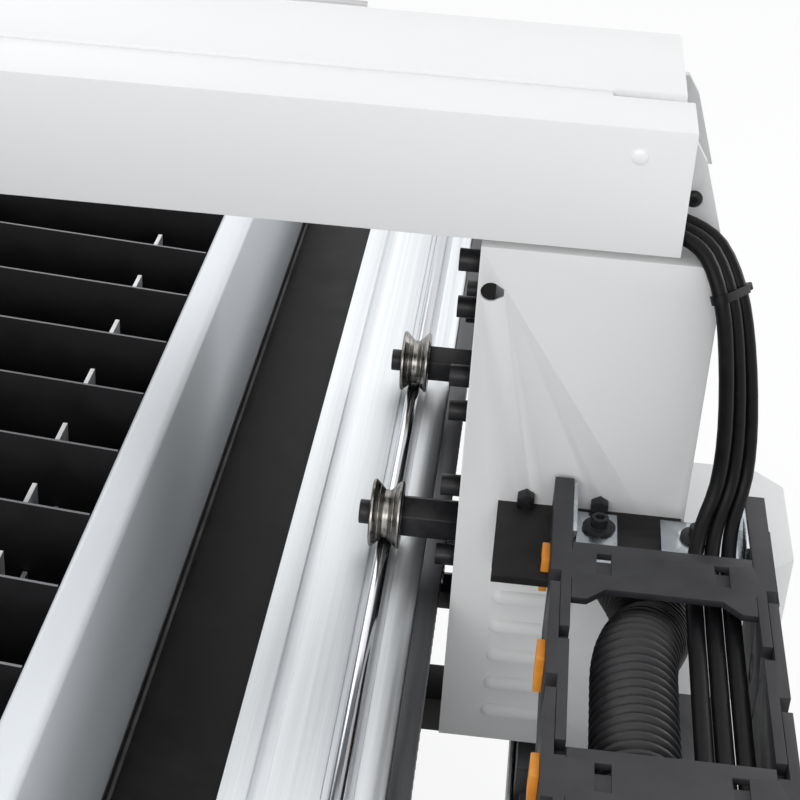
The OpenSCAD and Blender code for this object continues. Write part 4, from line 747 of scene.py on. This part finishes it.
middle = smooth_line(drop_route, drop_steps)
tie_at = at_axle(*middle[tie_step])
tie_along = (middle[tie_step + 1] - middle[tie_step - 1]).normalized()
tie_across = across(tie_step)
tie_across = (tie_across - tie_across.dot(tie_along) * tie_along).normalized()
tie_up = tie_along.cross(tie_across)
tie_loop = []
for i in range(tie_sides + 1):
    a = 2 * math.pi * i / tie_sides
    aside = cable_d / 2 * math.cos(a) + drop_spread * mm * math.copysign(1, math.cos(a))
    up = cable_d / 2 * math.sin(a)
    tie_loop.append(tie_at + tie_across * aside + tie_up * up - tie_along * tie_w / 2)
tie = section_line("bundle_tie", tie_loop)
select_all_then(bpy.ops.mesh.remove_doubles, threshold=weld)
select_all_then(bpy.ops.mesh.extrude_region_move, TRANSFORM_OT_translate={"value": tie_along * tie_w})
select_all_then(bpy.ops.mesh.normals_make_consistent, inside=False)
give_sheet(tie, tie_t, tie_out)
bpy.ops.object.select_all(action="DESELECT")
bpy.ops.mesh.primitive_cube_add(size=1, location=(0, 0, 0))
lock = bpy.context.object
lock.scale = lock_size
bpy.ops.object.transform_apply(location=False, rotation=False, scale=True)
round_edges(lock, lock_round)
tie_turn = Matrix((tie_across, tie_up, tie_along)).transposed().to_4x4()
lock_at = tie_at + tie_across * (drop_spread * mm + cable_d / 2 + lock_gap)
lock.data.transform(Matrix.Translation(lock_at) @ tie_turn)
only(tie)
lock.select_set(True)
bpy.ops.object.join()
bpy.ops.object.shade_smooth_by_angle(angle=tie_smooth)
wear_finish(tie, "cable_jacket")
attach(tie, "gantry")
print("tie", len(tie.data.polygons))

for number, k in ((1, -1), (2, 0), (3, 1)):
    route = [at_axle(*(place + k * drop_spread * across(i))) for i, place in enumerate(middle)]
    cable = line_curve("drop_cable_%d" % number, route, cable_d / 2)
    wear_finish(cable, "cable_jacket")
    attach(cable, "gantry")
    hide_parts("cable_bundle")

# %% [markdown]
# ## Small fittings
# A white plug closes a hole in the duct's front, a dark button screw sits in the gusset beside it, and the
# torch has a copper nozzle. The plug and the screw are turned pieces: half an outline is drawn as a chain
# of vertices and spun round its axis. The nozzle is the lowest part of the torch's own mesh, which only
# needs a second material.

# %% Small fittings
turned_steps = 32
plug_x, plug_z, screw_x, screw_z, screw_sunk = 123.2, 264.2, 158.5, 224, 6 * mm
plug_outline = [(-3, 0), (-3, 3.4), (0, 3.6), (0, 4.5), (0.8, 4.4), (1.5, 3.4), (1.8, 1.8), (1.9, 0)]
screw_outline = [(-9, 0), (-9, 3.6), (-8.6, 3.9), (0, 3.9), (0, 5), (1, 4.9), (2, 4.2), (2.6, 3.2),
                 (2.6, 2), (1, 2), (1, 0)]
nozzle_h = 16 * mm


def turned(name, place, outline, look):
    """A piece on the gantry that points at the front: an outline of forward and radius, spun round place."""
    piece = section_line(name, [place + Vector((0, -forward, r)) * mm for forward, r in outline])
    select_all_then(bpy.ops.mesh.spin, steps=turned_steps, angle=2 * math.pi, center=place, axis=(0, 1, 0))
    select_all_then(bpy.ops.mesh.remove_doubles, threshold=weld)
    bpy.ops.mesh.normals_make_consistent(inside=False)
    bpy.ops.object.mode_set(mode="OBJECT")
    bpy.ops.object.shade_smooth_by_angle(angle=smooth_within)
    wear_finish(piece, look)
    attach(piece, "gantry")
    return piece


duct_front, duct_back = (corner.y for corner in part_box("cable_duct"))
plug_at = at_axle(plug_x, 0, plug_z)
plug_at.y = duct_front
turned("duct_plug", plug_at, plug_outline, "plug_white")
screw_at = at_axle(screw_x, 0, screw_z)
screw_at.y = duct_back - screw_sunk
turned("gusset_screw", screw_at, screw_outline, "black_oxide")
torch = bpy.data.objects["torch_dressed"]
nozzle_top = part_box("torch")[0].z + nozzle_h
torch.data.materials.append(looks["copper"])
for face in torch.data.polygons:
    face.material_index = 1 if face.center.z < nozzle_top else 0
print("fittings", duct_front, duct_back, "nozzle faces", sum(f.material_index for f in torch.data.polygons))

# %% [markdown]
# ## Chain runs
# The chain is moulded in links, two sides and, on every second link, two cross bars. When the gantry moves,
# the links roll from one run to the other. The frame states that as a bend at half speed between two runs
# that change length, so the two runs are softened copies, dressed and left in place with their transform baked.

# %% Chain runs
end_pin_y, link_pitch, run_links, chain_x = -161, 88, 4, 159
link_half, link_side, chain_mid, bend_turn, bend_links = 49, 11, 36, 45, 3
link_round = 0.9 * mm
run_l = run_links * link_pitch
bend_drop = link_pitch * (1 + 2 * math.sin(math.radians(bend_turn)))
low_mid = chain_mid - bend_drop
run_end_y = end_pin_y - run_l
upper_span = (end_pin_y - 2 * run_l, end_pin_y)
lower_span = (end_pin_y, end_pin_y - 2 * run_l)


def follow_both(piece, look, span, slot, *nodes):
    """Dresses a piece: its finish, the nodes it stands for hidden, and its transform baked into its mesh. The span
    is not used.
    """
    wear_finish(piece, look)
    if nodes:
        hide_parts(*nodes)
    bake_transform(piece)
    return piece


for node, span in (("chain_upper_links", upper_span), ("chain_lower_links", lower_span)):
    links = copy_of(node, node + "_moulded")
    round_edges(links, link_round)
    follow_both(links, "chain_plastic", span, "chain_plastic", node)
print("chain runs", upper_span, lower_span)

# %% [markdown]
# ## Clips on the chain
# A bright clip locks each link's cross bar on the outer side: a small block with a rounded rim and a finger
# slot. One cube is drawn to size, its outer face is inset twice to leave a rim round a sunk middle, and a
# bevel rounds it. Each copy is placed with the same turn and shift as its link.

# %% Chain clips
clip_size = Vector((4.5, 17, 22))
clip_from_pin, clip_rise = 21, 3
clip_rim, clip_slope, clip_sink, clip_round = 3, 0.4, 1.2, 0.8


def clip_at(name, place, turn):
    """A clip with its middle at place in the right axle's frame, turned down by an angle in degrees."""
    bpy.ops.object.select_all(action="DESELECT")
    bpy.ops.mesh.primitive_cube_add(size=1, location=(0, 0, 0))
    clip = bpy.context.object
    clip.name = name
    clip.scale = clip_size * mm
    bpy.ops.object.transform_apply(location=False, rotation=False, scale=True)
    bpy.ops.object.mode_set(mode="EDIT")
    bpy.ops.mesh.select_mode(type="FACE")
    bpy.ops.object.mode_set(mode="OBJECT")
    for face in clip.data.polygons:
        face.select = face.normal.x < -facing
    bpy.ops.object.mode_set(mode="EDIT")
    bpy.ops.mesh.inset(thickness=clip_rim * mm, depth=0)
    bpy.ops.mesh.inset(thickness=clip_slope * mm, depth=-clip_sink * mm)
    bpy.ops.object.mode_set(mode="OBJECT")
    round_edges(clip, clip_round * mm)
    clip.data.transform(Matrix.Translation(at_axle(*place)) @ Matrix.Rotation(math.radians(turn), 4, "X"))
    wear_finish(clip, "clip_orange")
    return clip


def link_point(pin_y, pin_z, turn, along, up):
    """A point of a link that points away and is turned down: along from its first pin and up across it."""
    c, s = math.cos(math.radians(turn)), math.sin(math.radians(turn))
    return pin_y - along * c - up * s, pin_z - along * s + up * c


clip_x = chain_x - link_half - link_side - clip_size.x / 2
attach(clip_at("end_link_clip", (clip_x, end_pin_y + link_pitch - clip_from_pin, chain_mid + clip_rise), 0),
        "gantry")
for k in range(run_links):
    y, z = link_point(end_pin_y - k * link_pitch, chain_mid, 0, clip_from_pin, clip_rise)
    clip = clip_at("upper_clip_%d" % (k + 1), (clip_x, y, z), 0)
    follow_both(clip, "clip_orange", upper_span, "chain_plastic")
    y, z = link_point(run_end_y + k * link_pitch, low_mid, 180, clip_from_pin, clip_rise)
    clip = clip_at("lower_clip_%d" % (k + 1), (clip_x, y, z), 180)
    follow_both(clip, "clip_orange", lower_span, "chain_plastic")
pin_y, pin_z = run_end_y, chain_mid
for k in range(1, bend_links + 1):
    turn = k * bend_turn
    y, z = link_point(pin_y, pin_z, turn, clip_from_pin, clip_rise)
    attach(clip_at("bend_clip_%d" % k, (clip_x, y, z), turn), "chain_bend")
    pin_y, pin_z = link_point(pin_y, pin_z, turn, link_pitch, 0)
print("clips", 1 + 2 * run_links + bend_links)

# %% [markdown]
# ## Ribbed hose
# The thick hose in the chain is corrugated plastic conduit: round ribs at a steady spacing on a thin wall.
# One rib's outline is drawn as a chain of vertices. An Array repeats it, a Screw turns it round the axis,
# Solidify gives the wall, and a Curve modifier lays the straight hose along its route. That is one short
# recipe for three stretches: the rise with the upper run, the bend, and the lower run.

# %% Hose
rib_pitch, hose_r, valley_r, hose_wall = 6.6, 23, 20.6, 1.5
rib_shares = [(0, 0), (0.10, 0), (0.20, 0.35), (0.30, 0.80), (0.42, 1), (0.58, 1), (0.70, 0.80), (0.80, 0.35),
              (0.90, 0), (1, 0)]
hose_sides, rib_weld, hose_smooth = 28, 1e-5, math.radians(50)
bend_steps, rise_steps, lead_steps = 30, 24, 10
hose_x, gland_z, hose_start_y, hose_lead, rise_r = 146, 8, -30, 50, 105.6
hose_sway, sway_from, sway_to, sway_share = 14, -44, -185, 0.7
hose_clear, bend_share, hose_bend_r = 0.1, 0.409, 99
hose_mid = chain_mid - hose_clear
low_hose = low_mid + hose_clear
bend_y = run_end_y + bend_share * link_pitch
leads_end_y = -30
rise_turn = math.acos(1 - (hose_mid - gland_z) / (2 * rise_r))
level_y = hose_start_y - hose_lead - 2 * rise_r * math.sin(rise_turn)
bend_top, bend_low = hose_mid - hose_bend_r, low_hose + hose_bend_r
quarter = math.pi / 2


def arc(y, z, r, first, last, steps):
    """Points on an arc across x: angles in radians from the y axis towards z."""
    turns = [first + (last - first) * i / steps for i in range(steps + 1)]
    return [(y + r * math.cos(a), z + r * math.sin(a)) for a in turns]


def bend_route(r):
    """The way round the bend: a quarter turn, a short drop and a quarter turn back."""
    return (arc(bend_y, bend_top, r, quarter, 2 * quarter, bend_steps)
            + arc(bend_y, bend_low, r, 2 * quarter, 3 * quarter, bend_steps))


def sway(y):
    """Sideways step of the hose on its rise into the chain."""
    share = (y - sway_from) / (sway_to - sway_from)
    return hose_sway * math.sin(math.pi * share ** sway_share) ** 2 if 0 < share < 1 else 0


def hose(name, route, aside=0):
    """A corrugated tube along points y, z at the hose's x, with a share of the sideways step."""
    points = [at_axle(hose_x + aside * sway(y), y, z) for y, z in route]
    length = sum((b - a).length for a, b in zip(points, points[1:]))
    count = round(length / (rib_pitch * mm))
    pitch = length / count
    rib = [(u * pitch, 0, (valley_r + v * (hose_r - valley_r)) * mm) for u, v in rib_shares]
    piece = section_line(name, rib)
    bpy.ops.object.mode_set(mode="OBJECT")
    only(piece)
    bpy.ops.object.modifier_add(type="ARRAY")
    repeat = piece.modifiers[-1]
    repeat.count = count
    repeat.use_relative_offset = False
    repeat.use_constant_offset = True
    repeat.constant_offset_displace = (pitch, 0, 0)
    repeat.use_merge_vertices = True
    repeat.merge_threshold = rib_weld
    bpy.ops.object.modifier_apply(modifier=repeat.name)
    bpy.ops.object.modifier_add(type="SCREW")
    spun = piece.modifiers[-1]
    spun.axis = "X"
    spun.steps = spun.render_steps = hose_sides
    spun.use_merge_vertices = True
    bpy.ops.object.modifier_apply(modifier=spun.name)
    bpy.ops.object.mode_set(mode="EDIT")
    select_all_then(bpy.ops.mesh.normals_make_consistent, inside=False)
    give_sheet(piece, hose_wall * mm)
    guide = line_curve(name + "_guide", points)
    bpy.ops.object.modifier_add(type="CURVE")
    laid = piece.modifiers[-1]
    laid.object = guide
    laid.deform_axis = "POS_X"
    bpy.ops.object.modifier_apply(modifier=laid.name)
    bpy.data.objects.remove(guide)
    bpy.ops.object.shade_smooth_by_angle(angle=hose_smooth)
    print(name, "ribs", count, "length", round(length, 4), "faces", len(piece.data.polygons))
    return piece


rise = arc(hose_start_y - hose_lead, gland_z + rise_r, rise_r, -quarter, -quarter - rise_turn, rise_steps)
rise += arc(level_y, hose_mid - rise_r, rise_r, quarter - rise_turn, quarter, rise_steps)[1:]
lead = [(hose_start_y - hose_lead * i / lead_steps, gland_z) for i in range(lead_steps)]
upper_hose = hose("upper_hose", lead + rise + [(bend_y, hose_mid)], 1)
lower_hose = hose("lower_hose", [(bend_y, low_hose), (leads_end_y, low_hose)])
bend_hose = hose("bend_hose", bend_route(hose_bend_r))
hose_upper_span = (2 * bend_y - end_pin_y, end_pin_y)
hose_lower_span = (end_pin_y, 2 * bend_y - end_pin_y)
follow_both(upper_hose, "hose_plastic", hose_upper_span, "cable_black", "upper_leads")
follow_both(lower_hose, "hose_plastic", hose_lower_span, "cable_black", "lower_leads")
stand_for(bend_hose, "hose_plastic", "bend_leads")

# %% [markdown]
# ## Cables in the chain
# The three cables go on through the chain beside the hose. They lie held in the chain and aren't free, so
# each run is a bevelled curve made into a mesh. Pressed together in the
# chain they have almost no gap between them.

# %% Cables in the chain
cable_xs, cable_z, cable_start_y = (177.6, 187.5, 197.4), 49, -112.5
run_steps, sheath_d = 24, 9.7 * mm
cable_low = hose_mid + low_hose - cable_z
cable_r = cable_z - bend_top


def cable_mesh(name, points):
    piece = line_curve(name, points, sheath_d / 2)
    only(piece)
    bpy.ops.object.convert(target="MESH")
    piece = bpy.context.object
    bpy.ops.object.shade_smooth_by_angle(angle=hose_smooth)
    return piece


def steps_along(y_from, y_to, z, x):
    return [at_axle(x, y_from + (y_to - y_from) * i / run_steps, z) for i in range(run_steps + 1)]


for number, x in enumerate(cable_xs, 1):
    upper = cable_mesh("upper_cable_%d" % number, steps_along(cable_start_y, bend_y, cable_z, x))
    follow_both(upper, "cable_jacket", hose_upper_span, "cable_black", "upper_leads")
    lower = cable_mesh("lower_cable_%d" % number, steps_along(bend_y, leads_end_y, cable_low, x))
    follow_both(lower, "cable_jacket", hose_lower_span, "cable_black", "lower_leads")
    bend = cable_mesh("bend_cable_%d" % number, [at_axle(x, y, z) for y, z in bend_route(cable_r)])
    stand_for(bend, "cable_jacket", "bend_leads")
print("cables in the chain", 3 * len(cable_xs))
